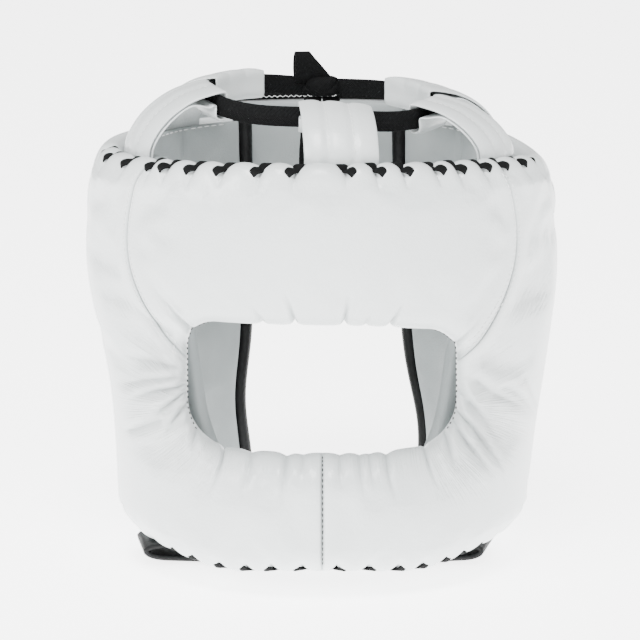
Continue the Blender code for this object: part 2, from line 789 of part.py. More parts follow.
def make_tail(name, side):
    """A free end of the lace that hangs down from the knot."""
    start = knot_centre() - Vector((0, 0, KNOT_HEIGHT / 2 + REST_GAP))
    path, wide, thick = [], [], []
    steps = 16
    for k in range(steps + 1):
        s = k / steps
        swing = TAIL_SPREAD * side * (0.62 + 0.38 * sin(pi * s * 0.9))
        back = -TAIL_SWAY * sin(pi * s) * (1 + 0.4 * side)
        path.append(start + Vector((swing, back, -TAIL_LENGTH * s * 0.985)))
        twist = radians(10 + 22 * side * s)
        wide.append(Vector((cos(twist), sin(twist), 0)))
        thick.append(Vector((-sin(twist), cos(twist), 0)))
    profile = band_profile(LACE_WIDTH * 0.9, LACE_THICKNESS)
    return add_sweep(name, path, wide, thick, profile, BLACK_LACE)


def strap_half(side, seat):
    """Half of the strap's line, from its seat out round the bulge and down to the middle: x and z."""
    bottom = TOP_RIM_Z - FACE_HEIGHT
    bulge = STRAP_BULGE + side * STRAP_SHIFT
    line = [(seat.x, seat.z)]
    for out, down in STRAP_RISE[1:]:
        line.append((seat.x + out * (bulge - seat.x), bottom - down * STRAP_DROP))
    for across, down, sag in STRAP_FLOOR[1:]:
        line.append((across * bulge, bottom - down * STRAP_DROP - sag * STRAP_SAG))
    return [(side * x, z) for x, z in line]


def make_chin_strap():
    """The whole strap, from one side pad's lower rim under the chin to the other's."""
    turn = radians(STRAP_TURN)
    drop = 1 - STRAP_SEAT / FACE_HEIGHT
    seat = wall(turn, drop, pad_thickness(turn, drop) + STRAP_SEAT_INSET)
    middle = (0, TOP_RIM_Z - FACE_HEIGHT - STRAP_DROP - STRAP_SAG)
    line = strap_half(1, seat) + [middle] + strap_half(-1, seat)[::-1]
    path, wide, thick = [], [], []
    for k, (x, z) in enumerate(line):
        path.append(Vector((x, seat.y, z)))
        before, after = line[max(k - 1, 0)], line[min(k + 1, len(line) - 1)]
        run = Vector((after[0] - before[0], 0, after[1] - before[1])).normalized()
        held = max(0.0, 1 - min(k, len(line) - 1 - k) / 4)
        slant = (atan2(FRONT_DEPTH * sin(turn), HALF_WIDTH * cos(turn)) - pi / 2) * held
        slant *= 1 if x > 0 else -1
        across = Vector((cos(pi / 2 + slant), sin(pi / 2 + slant), 0))
        wide.append(across)
        thick.append(run.cross(across).normalized())
    profile = band_profile(STRAP_WIDTH, STRAP_THICKNESS)
    return add_sweep("chin_strap", path, wide, thick, profile, BLACK_LEATHER)


def clear_scene():
    for obj in list(bpy.data.objects):
        bpy.data.objects.remove(obj, do_unlink=True)


def build():
    clear_scene()
    make_forehead()
    for word, side in (("left", -1), ("right", 1)):
        make_side_pad("side_pad_" + word, side)
        make_side_lining("side_lining_" + word, side)
        make_rear_binding("wing_binding_" + word, side)
        make_tail("lace_tail_" + word, side)
    make_back_panel()
    make_back_binding()
    make_crown_lace()
    make_loop("crown_loop_front", 0.0, LOOP_WIDTH, FRONT_LOOP_OFFSET)
    for name, turn, share in SIDE_LOOPS[1:]:
        make_loop(name, radians(turn), LOOP_WIDTH * share)
    make_knot()
    make_bow()
    make_chin_strap()


build()
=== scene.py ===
from math import cos, pi, radians, sin, sqrt
import bpy
import numpy as np
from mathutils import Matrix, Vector, noise
from mathutils.bvhtree import BVHTree
from mathutils.kdtree import KDTree


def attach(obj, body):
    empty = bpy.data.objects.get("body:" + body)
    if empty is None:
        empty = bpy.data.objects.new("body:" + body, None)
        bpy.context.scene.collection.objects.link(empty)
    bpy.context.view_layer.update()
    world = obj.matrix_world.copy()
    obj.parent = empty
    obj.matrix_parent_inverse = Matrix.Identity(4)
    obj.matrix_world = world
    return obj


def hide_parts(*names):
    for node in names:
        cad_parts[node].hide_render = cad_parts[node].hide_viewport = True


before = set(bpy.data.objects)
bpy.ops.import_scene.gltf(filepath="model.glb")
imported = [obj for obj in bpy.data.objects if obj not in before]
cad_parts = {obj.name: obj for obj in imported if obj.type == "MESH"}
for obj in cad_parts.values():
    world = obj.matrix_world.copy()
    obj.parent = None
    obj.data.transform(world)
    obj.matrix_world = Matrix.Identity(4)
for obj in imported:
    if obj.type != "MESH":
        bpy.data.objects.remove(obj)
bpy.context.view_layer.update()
print("frame loaded")


# Camera, aimed as the photo was taken

view = {
    "distance": 1.8,
    "elevation": 11.5,
    "lens": 200.0,
    "aim": (-0.001, 0.0, -0.112),
}


def addCamera():
    up = radians(view["elevation"])
    aim = Vector(view["aim"])
    camera = bpy.data.objects.new("camera", bpy.data.cameras.new("camera"))
    camera.data.lens = view["lens"]
    camera.data.sensor_width = 36
    camera.location = aim + view["distance"] * Vector((0, -cos(up), sin(up)))
    camera.rotation_euler = (aim - camera.location).to_track_quat("-Z", "Y").to_euler()
    bpy.context.scene.collection.objects.link(camera)
    bpy.context.scene.camera = camera


addCamera()


# Node trees: plain sums on sockets, and one method for every other node

class Wire:
    # an output socket, on which sums add Math nodes
    def __init__(self, graph, socket):
        self.graph = graph
        self.socket = socket

    def math(self, operation, *values):
        return self.graph.node("ShaderNodeMath", {"operation": operation}, dict(enumerate(values)))

    def __add__(self, other):
        return self.math("ADD", self, other)

    def __sub__(self, other):
        return self.math("SUBTRACT", self, other)

    def __rsub__(self, other):
        return self.math("SUBTRACT", other, self)

    def __mul__(self, other):
        return self.math("MULTIPLY", self, other)

    def __abs__(self):
        return self.math("ABSOLUTE", self)

    def wave(self):
        return self.math("SINE", self)

    __radd__ = __add__
    __rmul__ = __mul__


class Graph:
    def feed(self, socket, value):
        if isinstance(value, Wire):
            self.tree.links.new(value.socket, socket)
        else:
            socket.default_value = value

    def node(self, kind, settings=None, inputs=None, output=0):
        made = self.tree.nodes.new(kind)
        for key, value in (settings or {}).items():
            if key == "stops":
                self.setStops(made.color_ramp, value)
            else:
                setattr(made, key, value)
        for key, value in (inputs or {}).items():
            self.feed(made.inputs[key], value)
        return Wire(self, made.outputs[output])

    def setStops(self, ramp, stops):
        while len(ramp.elements) < len(stops):
            ramp.elements.new(0.5)
        for element, (at, shade) in zip(ramp.elements, stops):
            element.position = at
            element.color = (shade, shade, shade, 1)


class Finish(Graph):
    # one material and the nodes behind its shader
    def __init__(self, name, roughness):
        self.material = bpy.data.materials.new(name)
        self.material.use_nodes = True
        self.tree = self.material.node_tree
        self.shader = self.tree.nodes["Principled BSDF"]
        self.set("Roughness", roughness)

    def set(self, name, value):
        self.feed(self.shader.inputs[name], value)

    def place(self):
        return self.node("ShaderNodeTexCoord", output="Object")

    def onSurface(self):
        # the piece's own UV map, in metres along and across
        uv = self.node("ShaderNodeTexCoord", output="UV")
        along = self.node("ShaderNodeSeparateXYZ", inputs={0: uv}, output="X")
        across = self.node("ShaderNodeSeparateXYZ", inputs={0: uv}, output="Y")
        return along, across

    def painted(self, name):
        return self.node("ShaderNodeAttribute", {"attribute_name": name}, output="Fac")

    def join(self, x, y):
        return self.node("ShaderNodeCombineXYZ", inputs={"X": x, "Y": y})

    def grain(self, scale, place, detail=2.0):
        return self.node("ShaderNodeTexNoise", {}, {"Vector": place, "Scale": scale, "Detail": detail})

    def cells(self, scale, place):
        return self.node("ShaderNodeTexVoronoi", {"feature": "F1"}, {"Vector": place, "Scale": scale})

    def ramp(self, value, stops):
        return self.node("ShaderNodeValToRGB", {"stops": stops}, {"Fac": value})

    def blend(self, factor, low, high):
        low = low if isinstance(low, Wire) else (*low, 1)
        inputs = {0: factor, 6: low, 7: (*high, 1)}
        return self.node("ShaderNodeMix", {"data_type": "RGBA"}, inputs, output=2)

    def bump(self, height, distance, below=None):
        inputs = {"Height": height, "Distance": distance, "Strength": 1.0}
        if below is not None:
            inputs["Normal"] = below
        return self.node("ShaderNodeBump", {}, inputs)


leather = {
    "colour": (0.640, 0.668, 0.666),
    "shade": (0.585, 0.616, 0.616),
    # painted shade colour for the floors of creases, gathers and seams
    "creaseShadeColour": (0.34, 0.37, 0.37),
    "grainScale": 820.0,        # cells a metre
    "grainDepth": 0.00008,
    "creaseScale": 120.0,
    "creaseDepth": 0.00030,
    "streaksAcross": 620.0,     # fine wrinkles that run away from the opening
    "streaksAlong": 42.0,
    "streakDepth": 0.0015,
    "cloudScale": 14.0,         # slow change of tone
    "creaseShadeStrength": 0.75,        # how far a fold's floor is darkened to the painted crease shade
    "roughness": 0.32,
    "coat": 0.35,
    "coatRoughness": 0.24,
}


def whiteLeather():
    made = Finish("whiteLeather", leather["roughness"])
    place = made.place()
    around, out = made.onSurface()
    creased = made.painted("creased")
    pressed = made.painted("pressed")
    cells = made.cells(leather["grainScale"], place)
    soft = made.grain(leather["creaseScale"], place, 4.0)
    cloud = made.grain(leather["cloudScale"], place, 3.0)
    run = made.join(around * leather["streaksAcross"], out * leather["streaksAlong"])
    streaks = made.grain(1.0, run, 5.0)
    tone = made.ramp(cloud, ((0.30, 0.0), (0.72, 1.0)))
    worn = made.blend(tone, leather["shade"], leather["colour"])
    # painted shade: the floors of creases, gathers and seams are darkened towards the crease shade colour
    made.set("Base Color", made.blend(pressed * leather["creaseShadeStrength"], worn, leather["creaseShadeColour"]))
    made.set("Coat Weight", leather["coat"])
    made.set("Coat Roughness", leather["coatRoughness"])
    made.set("Roughness", leather["roughness"] + 0.10 * (cloud - 0.5) + 0.06 * cells + 0.10 * pressed)
    low = made.bump(streaks * creased, leather["streakDepth"])
    low = made.bump(soft, leather["creaseDepth"], low)
    made.set("Normal", made.bump(cells, leather["grainDepth"], low))
    return made.material


lining = {
    "colour": (0.325, 0.350, 0.350),
    "shade": (0.265, 0.290, 0.292),
    "grainScale": 1100.0,
    "grainDepth": 0.00008,
    "cloudScale": 22.0,
    "softScale": 90.0,
    "softDepth": 0.0005,
    "roughness": 0.55,
}


def greyLining():
    made = Finish("greyLining", lining["roughness"])
    place = made.place()
    cells = made.cells(lining["grainScale"], place)
    cloud = made.grain(lining["cloudScale"], place, 4.0)
    tone = made.ramp(cloud, ((0.32, 0.0), (0.70, 1.0)))
    made.set("Base Color", made.blend(tone, lining["shade"], lining["colour"]))
    made.set("Roughness", lining["roughness"] + 0.12 * (cloud - 0.5))
    low = made.bump(made.grain(lining["softScale"], place, 3.0), lining["softDepth"])
    made.set("Normal", made.bump(cells, lining["grainDepth"], low))
    return made.material


tape = {
    "colour": (0.0018, 0.0020, 0.0021),
    "worn": (0.0045, 0.0048, 0.0050),
    "pitch": 0.0011,            # from one woven rib to the next
    "depth": 0.00018,
    "fuzzScale": 900.0,
    "roughness": 0.74,
    "shine": 0.12,
}


def blackLace():
    made = Finish("blackLace", tape["roughness"])
    along, across = made.onSurface()
    turns = 2 * pi / tape["pitch"]
    ribs = ((along + abs(across)) * turns).wave()
    cross = ((along - abs(across)) * (turns * 0.5)).wave()
    fuzz = made.grain(tape["fuzzScale"], made.place(), 3.0)
    tone = made.ramp(fuzz, ((0.35, 0.0), (0.75, 1.0)))
    made.set("Base Color", made.blend(tone, tape["colour"], tape["worn"]))
    made.set("Roughness", tape["roughness"] + 0.12 * fuzz)
    made.set("Normal", made.bump(ribs * 0.6 + cross * 0.4 + fuzz * 0.6, tape["depth"]))
    made.set("Specular IOR Level", tape["shine"])
    return made.material


strapLeather = {
    "colour": (0.0020, 0.0022, 0.0023),
    "worn": (0.0070, 0.0074, 0.0078),
    "grainScale": 820.0,
    "grainDepth": 0.00012,
    "cloudScale": 60.0,
    "cloudDepth": 0.0002,
    "roughness": 0.50,
    "shine": 0.22,
}


def blackLeather():
    made = Finish("blackLeather", strapLeather["roughness"])
    place = made.place()
    cells = made.cells(strapLeather["grainScale"], place)
    cloud = made.grain(strapLeather["cloudScale"], place, 4.0)
    tone = made.ramp(cloud, ((0.45, 0.0), (0.80, 1.0)))
    made.set("Base Color", made.blend(tone, strapLeather["colour"], strapLeather["worn"]))
    made.set("Roughness", strapLeather["roughness"] + 0.16 * (cloud - 0.5))
    low = made.bump(cloud, strapLeather["cloudDepth"])
    made.set("Normal", made.bump(cells, strapLeather["grainDepth"], low))
    made.set("Specular IOR Level", strapLeather["shine"])
    return made.material


thread = {
    "white": (0.78, 0.79, 0.78),
    "whiteWorn": (0.62, 0.63, 0.63),
    "dark": (0.012, 0.012, 0.013),
    "darkWorn": (0.030, 0.030, 0.032),
    "plyScale": 1800.0,
    "plyDepth": 0.00012,
    "roughness": 0.62,
}


def threadFinish(name, colour, worn):
    made = Finish(name, thread["roughness"])
    ply = made.grain(thread["plyScale"], made.place(), 2.0)
    made.set("Base Color", made.blend(ply, worn, colour))
    made.set("Roughness", thread["roughness"] + 0.16 * ply)
    made.set("Normal", made.bump(ply, thread["plyDepth"]))
    return made.material


finishes = {
    "white_leather": whiteLeather(),
    "grey_lining": greyLining(),
    "black_lace": blackLace(),
    "black_leather": blackLeather(),
}
whiteThread = threadFinish("whiteThread", thread["white"], thread["whiteWorn"])
darkThread = threadFinish("darkThread", thread["dark"], thread["darkWorn"])
print("finishes made")


# Geometry node trees for what follows a path

class Tree(Graph):
    def __init__(self, name, **sizes):
        self.tree = bpy.data.node_groups.new(name, "GeometryNodeTree")
        self.socket("Geometry", "NodeSocketGeometry")
        for label in sizes:
            self.socket(label, "NodeSocketFloat")
        self.socket("Finish", "NodeSocketMaterial")
        self.tree.interface.new_socket("Geometry", in_out="OUTPUT", socket_type="NodeSocketGeometry")
        self.sizes = sizes
        self.inputs = self.tree.nodes.new("NodeGroupInput")

    def socket(self, label, kind):
        self.tree.interface.new_socket(label, in_out="INPUT", socket_type=kind)

    def given(self, label):
        return Wire(self, self.inputs.outputs[label])

    def end(self, shape):
        shape = self.node("GeometryNodeRealizeInstances", inputs={0: shape})
        inputs = {"Geometry": shape, "Material": self.given("Finish")}
        shape = self.node("GeometryNodeSetMaterial", inputs=inputs)
        self.feed(self.tree.nodes.new("NodeGroupOutput").inputs[0], shape)

    def run(self, name, lines, finish, facing=None, **sizes):
        # the tree's result on open lines of points, as a plain mesh object
        points = [tuple(p) for line in lines for p in line]
        starts = np.cumsum([0] + [len(line) for line in lines])
        edges = [(a + k, a + k + 1) for a, line in zip(starts, lines) for k in range(len(line) - 1)]
        mesh = bpy.data.meshes.new(name + "Path")
        mesh.from_pydata(points, edges, [])
        if facing:
            ways = mesh.attributes.new("facing", "FLOAT_VECTOR", "POINT")
            flat = np.array([tuple(way) for line in facing for way in line])
            ways.data.foreach_set("vector", flat.ravel())
        work = bpy.data.objects.new(name + "Path", mesh)
        bpy.context.scene.collection.objects.link(work)
        modifier = work.modifiers.new("path", "NODES")
        modifier.node_group = self.tree
        wanted = {**self.sizes, **sizes, "Finish": finish}
        for item in self.tree.interface.items_tree:
            if item.in_out == "INPUT" and item.name in wanted:
                modifier[item.identifier] = wanted[item.name]
        ready = work.evaluated_get(bpy.context.evaluated_depsgraph_get())
        result = bpy.data.meshes.new_from_object(ready)
        result.name = name
        result.shade_smooth()
        bpy.data.objects.remove(work)
        made = bpy.data.objects.new(name, result)
        bpy.context.scene.collection.objects.link(made)
        return made


def bandTree():
    # a flat lace along each line, its flat side to the way that the line faces
    made = Tree("band", Width=0.006, Thickness=0.0012, Taper=0.45)
    line = made.node("GeometryNodeMeshToCurve", inputs={0: made.given("Geometry")})
    settings = {"data_type": "FLOAT_VECTOR"}
    ways = made.node("GeometryNodeInputNamedAttribute", settings, {"Name": "facing"})
    line = made.node("GeometryNodeSetCurveNormal", {"mode": "FREE"}, {"Curve": line, "Normal": ways})
    inputs = {"Width": made.given("Thickness"), "Height": made.given("Width")}
    edge = made.node("GeometryNodeCurvePrimitiveQuadrilateral", inputs=inputs)
    inputs = {"Curve": edge, "Count": 3, "Radius": made.given("Thickness") * 0.48}
    edge = made.node("GeometryNodeFilletCurve", {"mode": "POLY"}, inputs)
    share = made.node("GeometryNodeSplineParameter", output="Factor")
    swell = 1 - made.given("Taper") + made.given("Taper") * (share * pi).wave()
    inputs = {"Curve": line, "Profile Curve": edge, "Scale": swell, "Fill Caps": True}
    shape = made.node("GeometryNodeCurveToMesh", inputs=inputs)
    length = made.node("GeometryNodeSplineParameter", output="Length")
    along = made.node("ShaderNodeCombineXYZ", inputs={"X": length})
    settings = {"data_type": "FLOAT2", "domain": "CORNER"}
    inputs = {"Geometry": shape, "Name": "tape", "Value": along}
    made.end(made.node("GeometryNodeStoreNamedAttribute", settings, inputs))
    return made


def stitchTree():
    # short rounded stitches, one after another along each line
    made = Tree("stitches", Pitch=0.003, Length=0.0022, Width=0.0006)
    line = made.node("GeometryNodeMeshToCurve", inputs={0: made.given("Geometry")})
    inputs = {"Curve": line, "Length": made.given("Pitch")}
    line = made.node("GeometryNodeResampleCurve", {"mode": "LENGTH"}, inputs)
    ball = made.node("GeometryNodeMeshUVSphere", inputs={"Segments": 6, "Rings": 6, "Radius": 0.5})
    size = {"X": made.given("Width"), "Y": made.given("Width"), "Z": made.given("Length")}
    inputs = {"Geometry": ball, "Scale": made.node("ShaderNodeCombineXYZ", inputs=size)}
    stitch = made.node("GeometryNodeTransform", inputs=inputs)
    inputs = {"Vector": made.node("GeometryNodeInputTangent")}
    turned = made.node("FunctionNodeAlignRotationToVector", {"axis": "Z"}, inputs)
    inputs = {"Points": line, "Instance": stitch, "Rotation": turned}
    made.end(made.node("GeometryNodeInstanceOnPoints", inputs=inputs))
    return made


bands = bandTree()
stitches = stitchTree()
print("node trees made")


# The head's outline, on which every pad lies. Metres, the face looks along -Y.

head = {
    "halfWidth": 0.120,
    "frontDepth": 0.119,
    "rearDepth": 0.114,
    "faceHeight": 0.1985,
    "topRimZ": -0.0165,
    "sideDroop": 0.005,
    "barTop": 0.65,             # share of the height where the bar begins
}

# shares of the half width and depths, by share of the height from the top rim down
faceShape = {
    "drop": (-0.05, 0.06, 0.18, 0.31, 0.42, 0.54, 0.68, 0.80, 0.93, 1.06),
    "width": (0.955, 0.965, 0.982, 1.000, 0.988, 0.956, 0.915, 0.886, 0.864, 0.850),
    "front": (0.885, 0.895, 0.900, 0.895, 0.885, 0.905, 0.965, 1.000, 0.995, 0.975),
    "rear": (0.985, 0.990, 1.000, 1.000, 1.000, 1.000, 0.995, 0.990, 0.980, 0.970),
}


def readSmooth(table, name, at, reach=0.07):
    first = next(iter(table))
    taps = ((-1.0, 1), (-0.5, 2), (0.0, 3), (0.5, 2), (1.0, 1))
    total = 0.0
    for step, weight in taps:
        total = total + weight * np.interp(at + reach * step, table[first], table[name])
    return total / sum(weight for step, weight in taps)


def rise(share):
    share = np.clip(share, 0.0, 1.0)
    return share * share * (3 - 2 * share)


def roll(share):
    share = np.clip(share, 0.0, 1.0)
    return np.sqrt(1 - (1 - share) ** 2)


def hill(offset, width):
    return np.exp(-((offset / width) ** 2))


def pleat(offset, width):
    # a drawn-in fold, sharp at its floor and wide at its shoulders
    return np.exp(-((np.abs(offset) / width) ** 1.25))


def halfWidth(drop):
    return head["halfWidth"] * readSmooth(faceShape, "width", drop)


def depth(turn, drop):
    front = head["frontDepth"] * readSmooth(faceShape, "front", drop)
    rear = head["rearDepth"] * readSmooth(faceShape, "rear", drop)
    return np.where(np.cos(turn) > 0, front, rear)


def level(turn, drop):
    side = np.sin(np.minimum(np.abs(turn), pi / 2)) ** 2
    top = head["topRimZ"] - head["sideDroop"] * side
    return top + (head["topRimZ"] - head["faceHeight"] - top) * drop


def wall(turn, drop, inset):
    # angle round from the front, share of the height, depth below the skin
    across = (halfWidth(drop) - inset) * np.sin(turn)
    along = -(depth(turn, drop) - inset) * np.cos(turn)
    return np.stack(np.broadcast_arrays(across, along, level(turn, drop)), axis=-1)


def wallPoint(turn, drop, inset):
    return Vector(wall(np.float64(turn), np.float64(drop), np.float64(inset)))


wings = {
    "leftGap": 0.0475,
    "rightGap": 0.0475,
    "rightFlare": 0.013,
    # how much further apart the wings stand lower down
    "leftHollow": 0.0042,
    "rightHollow": 0.0050,
    "hollowDrop": (0.78, 0.85),
    "hollowReach": 0.14,
}

padding = {
    "thickness": 0.028,
    "topThinning": 0.36,
    "topReach": 0.24,
    "barFullness": 0.005,
    "liningThickness": 0.009,
    "restGap": 0.0003,
    "liningEase": 0.0012,
}

# shares of the pad and lining thickness, by share of the way round to the rear
thicknessShape = {
    "turn": (0.00, 0.25, 0.55, 0.75, 0.90, 1.00),
    "pad": (0.95, 1.00, 0.98, 0.70, 0.46, 0.40),
    "lining": (1.00, 1.00, 1.00, 0.80, 0.60, 0.50),
}


def rearTurn(side, drop):
    flare = wings["rightFlare"] * np.maximum(0.0, drop) ** 1.5
    hollow = [hill(drop - at, wings["hollowReach"]) for at in wings["hollowDrop"]]
    if side < 0:
        gap = wings["leftGap"] + wings["leftHollow"] * hollow[0]
    else:
        gap = wings["rightGap"] + flare + wings["rightHollow"] * hollow[1]
    middle = padding["thickness"] * thicknessShape["pad"][-1] / 2
    return pi - np.arcsin(gap / (halfWidth(drop) - middle))


def padThickness(turn, drop):
    full = readSmooth(thicknessShape, "pad", np.abs(turn) / rearTurn(-1, drop))
    thinned = 1 - padding["topThinning"] * full * (1 - rise(drop / padding["topReach"]))
    bar = padding["barFullness"] * rise((drop - 0.62) / 0.16) * hill(turn, 0.75)
    return padding["thickness"] * full * thinned + bar


def liningThickness(turn, drop):
    share = np.abs(turn) / rearTurn(-1, drop)
    return padding["liningThickness"] * readSmooth(thicknessShape, "lining", share)


def wallThickness(turn, drop):
    between = padding["restGap"] + padding["liningEase"]
    return padThickness(turn, drop) + between + liningThickness(turn, drop)


def skins(edges, thickness):
    # depth of the outer and inner skin where each edge is rolled or sewn down
    full = 1.0
    inner = 1.0
    for distance, width, crest in edges:
        sunk = 1 - roll(distance / width)
        full = full * (1 - crest[0] * sunk)
        inner = inner * (1 - (1 - crest[1]) * sunk)
    return thickness * (1 - full), thickness * inner


def bunched(count, ends):
    # shares from 0 to 1, closer together at both ends
    k = np.arange(count + 1) / count
    return (1 - ends) * k + ends * (1 - np.cos(pi * k)) / 2


def ripple(turn, drop, scale, seed):
    # slow unevenness of the skin, from -1 to 1
    turn, drop = np.broadcast_arrays(turn, drop)
    flat = []
    for t, d in zip(turn.ravel(), drop.ravel()):
        flat.append(noise.noise(Vector((t * scale, d * scale * 1.6, seed))))
    return np.array(flat).reshape(turn.shape)


# Whip lacing along the rims: degrees round from the front to each hole

topLacing = {
    "left": (6.8, 15.6, 25.6, 34.3, 42.8, 48.8, 60.5, 74.9, 86.0),
    "right": (6.0, 13.5, 20.7, 29.8, 36.3, 45.0, 52.8, 63.1, 73.9),
    "valley": 0.0036,           # how far a hole draws the rim down
    "pinch": 0.0034,            # and how far it draws the skin in
    "reach": 0.016,
    "below": 20.0,              # where a stitch starts on the outer face, in degrees up
    "rim": 0.0,
}

footLacing = {
    "left": (5.9, 14.9, 22.4, 30.7, 40.8, 49.6, 60.0, 71.0),
    "right": (4.4, 13.7, 22.6, 30.0, 38.5, 45.9, 55.0, 65.0),
    "valley": 0.0026,
    "pinch": 0.0030,
    "reach": 0.012,
    "below": 20.0,
    "rim": 1.0,
}


def scallop(turn, lacing):
    # 1 in a hole's valley and 0 on top of the scallops between two holes
    holes = sorted([-t for t in lacing["left"]] + list(lacing["right"]))
    around = np.degrees(turn)
    between = np.interp(around, holes, np.arange(len(holes)))
    first = 0.5 * rise((holes[0] - around) / 6.0)
    last = 0.5 * rise((around - holes[-1]) / 6.0)
    return 1 - np.abs(np.sin(pi * (between + last - first))) ** 0.55


def drawnRim(turn, distance, lacing):
    # how far the rim sinks and the skin is drawn in near a laced rim
    near = 1 - rise(distance / lacing["reach"])
    valley = scallop(turn, lacing)
    return lacing["valley"] * valley * near, lacing["pinch"] * valley * near * (0.30 + 0.70 * near)


# Soft changes of the whole face: degrees round, height share, their reach in each, and metres.
# Dents press the leather in and sags let it hang lower, the rim's with the lining in it.

dents = (
    (-86.0, 0.58, 28.0, 0.27, 0.0060),
    (88.0, 0.42, 30.0, 0.34, 0.0026),
    (-50.0, 0.62, 13.0, 0.10, 0.0012),
    (56.0, 0.66, 14.0, 0.10, 0.0012),
)
rimSags = (
    (98.0, 0.00, 24.0, 0.120, 0.0062),
)
sags = (
    (35.0, 0.405, 19.0, 0.090, 0.0046),
    *rimSags,
    (-31.0, 1.00, 15.0, 0.120, 0.0036),
    (31.0, 1.00, 15.0, 0.120, 0.0036),
)


def soften(rows, turn, drop):
    around = np.degrees(turn)
    total = 0.0
    for at, share, reach, tall, size in rows:
        total = total + size * hill(around - at, reach) * hill(drop - share, tall)
    return total


# Creases on the cheeks: depth, width, and the points they pass, in degrees round and height share

creases = (
    (0.0023, 0.0017, ((-34.6, 0.553), (-37.0, 0.560), (-47.2, 0.584), (-60.0, 0.626))),
    (0.0022, 0.0016, ((-34.8, 0.575), (-37.6, 0.584), (-42.6, 0.611), (-52.0, 0.658))),
    (0.0015, 0.0020, ((-36.0, 0.536), (-41.2, 0.541), (-53.5, 0.568), (-66.0, 0.597))),
    (0.0013, 0.0024, ((-36.0, 0.513), (-41.0, 0.509), (-52.1, 0.507), (-62.0, 0.498))),
    (0.0015, 0.0020, ((-44.0, 0.643), (-49.2, 0.662), (-56.6, 0.687), (-68.0, 0.716))),
    (0.0011, 0.0026, ((-37.0, 0.430), (-41.4, 0.413), (-46.0, 0.393), (-53.0, 0.350))),
    (0.0018, 0.0018, ((-34.0, 0.602), (-36.6, 0.611), (-41.5, 0.651), (-47.5, 0.708))),
    (0.0020, 0.0017, ((-32.0, 0.645), (-33.3, 0.667), (-35.1, 0.695), (-36.2, 0.728))),
    (0.0016, 0.0028, ((38.5, 0.528), (44.8, 0.569), (52.1, 0.602), (60.3, 0.634), (70.0, 0.686))),
    (0.0016, 0.0018, ((38.0, 0.590), (45.6, 0.640), (51.0, 0.690), (54.5, 0.735))),
    (0.0026, 0.0018,
     ((33.6, 0.612), (39.2, 0.645), (43.7, 0.675), (49.1, 0.721), (54.7, 0.776), (59.0, 0.850))),
    (0.0022, 0.0018, ((33.4, 0.630), (38.0, 0.676), (43.2, 0.720), (47.7, 0.763), (52.5, 0.815))),
    (0.0021, 0.0016, ((31.0, 0.655), (32.1, 0.668), (33.9, 0.695), (35.9, 0.733), (37.8, 0.772))),
    (0.0014, 0.0028, ((49.2, 0.567), (57.3, 0.596), (71.1, 0.668), (80.0, 0.716))),
    (0.0013, 0.0032, ((58.5, 0.552), (68.6, 0.624), (82.0, 0.700))),
    (0.0013, 0.0022, ((34.6, 0.560), (41.0, 0.621), (47.0, 0.658))),
)

creasing = {
    "strength": 1.3,
    "fullDepth": 0.0026,        # a fold as deep as this gets the painted shade in full
    "steps": 22,
}

# Where the leather is finely wrinkled: degrees round, height share, their reach, and how strongly
wrinkled = (
    (-46.0, 0.58, 16.0, 0.13, 0.9),
    (-30.0, 0.72, 16.0, 0.07, 0.5),
    (50.0, 0.66, 15.0, 0.13, 1.0),
    (16.0, 0.70, 14.0, 0.05, 0.6),
    (38.0, 0.76, 10.0, 0.07, 0.6),
)


def flatPlace(turn, drop):
    return np.asarray(turn) * (head["halfWidth"] * 0.93), np.asarray(drop) * head["faceHeight"]


def creaseAt(turn, drop, rows):
    # how deep the creases are, and how much painted shade each point takes at a crease's floor, from 0 to
    # 1
    x, z = flatPlace(turn, drop)
    deep = np.zeros(np.broadcast(x, z).shape)
    shadeShare = np.zeros_like(deep)
    for size, width, points in rows:
        line = smoothLine([(radians(a), b) for a, b in points], creasing["steps"])
        lineX, lineZ = flatPlace(line[:, 0], line[:, 1])
        best = np.full_like(deep, 1.0)
        share = np.zeros_like(deep)
        for k in range(len(lineX) - 1):
            dx, dz = lineX[k + 1] - lineX[k], lineZ[k + 1] - lineZ[k]
            t = np.clip(((x - lineX[k]) * dx + (z - lineZ[k]) * dz) / (dx * dx + dz * dz), 0, 1)
            away = np.hypot(x - lineX[k] - t * dx, z - lineZ[k] - t * dz)
            closer = away < best
            best = np.where(closer, away, best)
            share = np.where(closer, (k + t) / (len(lineX) - 1), share)
        fade = rise(share / 0.10) * (1 - rise((share - 0.35) / 0.65))
        swell = 0.42 * hill(best - 2.3 * width, 1.5 * width)
        deep += creasing["strength"] * size * fade * (pleat(best, width) - swell)
        shadeShare = np.maximum(shadeShare, size / creasing["fullDepth"] * fade * pleat(best, width * 0.55))
    return deep, shadeShare


def smoothLine(points, count):
    # a smooth curve through chosen points, evenly spaced along its length
    points = np.array(points, dtype=float)
    ends = np.vstack((2 * points[0] - points[1], points, 2 * points[-1] - points[-2]))
    made = []
    for k in range(1, len(ends) - 2):
        a, b, c, d = ends[k - 1], ends[k], ends[k + 1], ends[k + 2]
        for t in np.linspace(0, 1, 12, endpoint=False):
            made.append(0.5 * (2 * b + (c - a) * t + (2 * a - 5 * b + 4 * c - d) * t ** 2
                               + (3 * b - a - 3 * c + d) * t ** 3))
    made = np.array(made + [points[-1]])
    along = np.concatenate(([0], np.cumsum(np.linalg.norm(np.diff(made, axis=0), axis=1))))
    at = np.linspace(0, along[-1], count)
    return np.stack([np.interp(at, along, made[:, k]) for k in range(points.shape[1])], axis=1)


# Meshes

def addObject(name, vertices, faces, finish, uv=None):
    mesh = bpy.data.meshes.new(name)
    mesh.from_pydata([tuple(p) for p in vertices], [], faces)
    if uv is not None:
        layer = mesh.uv_layers.new(name="tape")
        layer.data.foreach_set("uv", np.array(uv, dtype=float).ravel())
    mesh.materials.append(finish)
    mesh.shade_smooth()
    made = bpy.data.objects.new(name, mesh)
    bpy.context.scene.collection.objects.link(made)
    return made


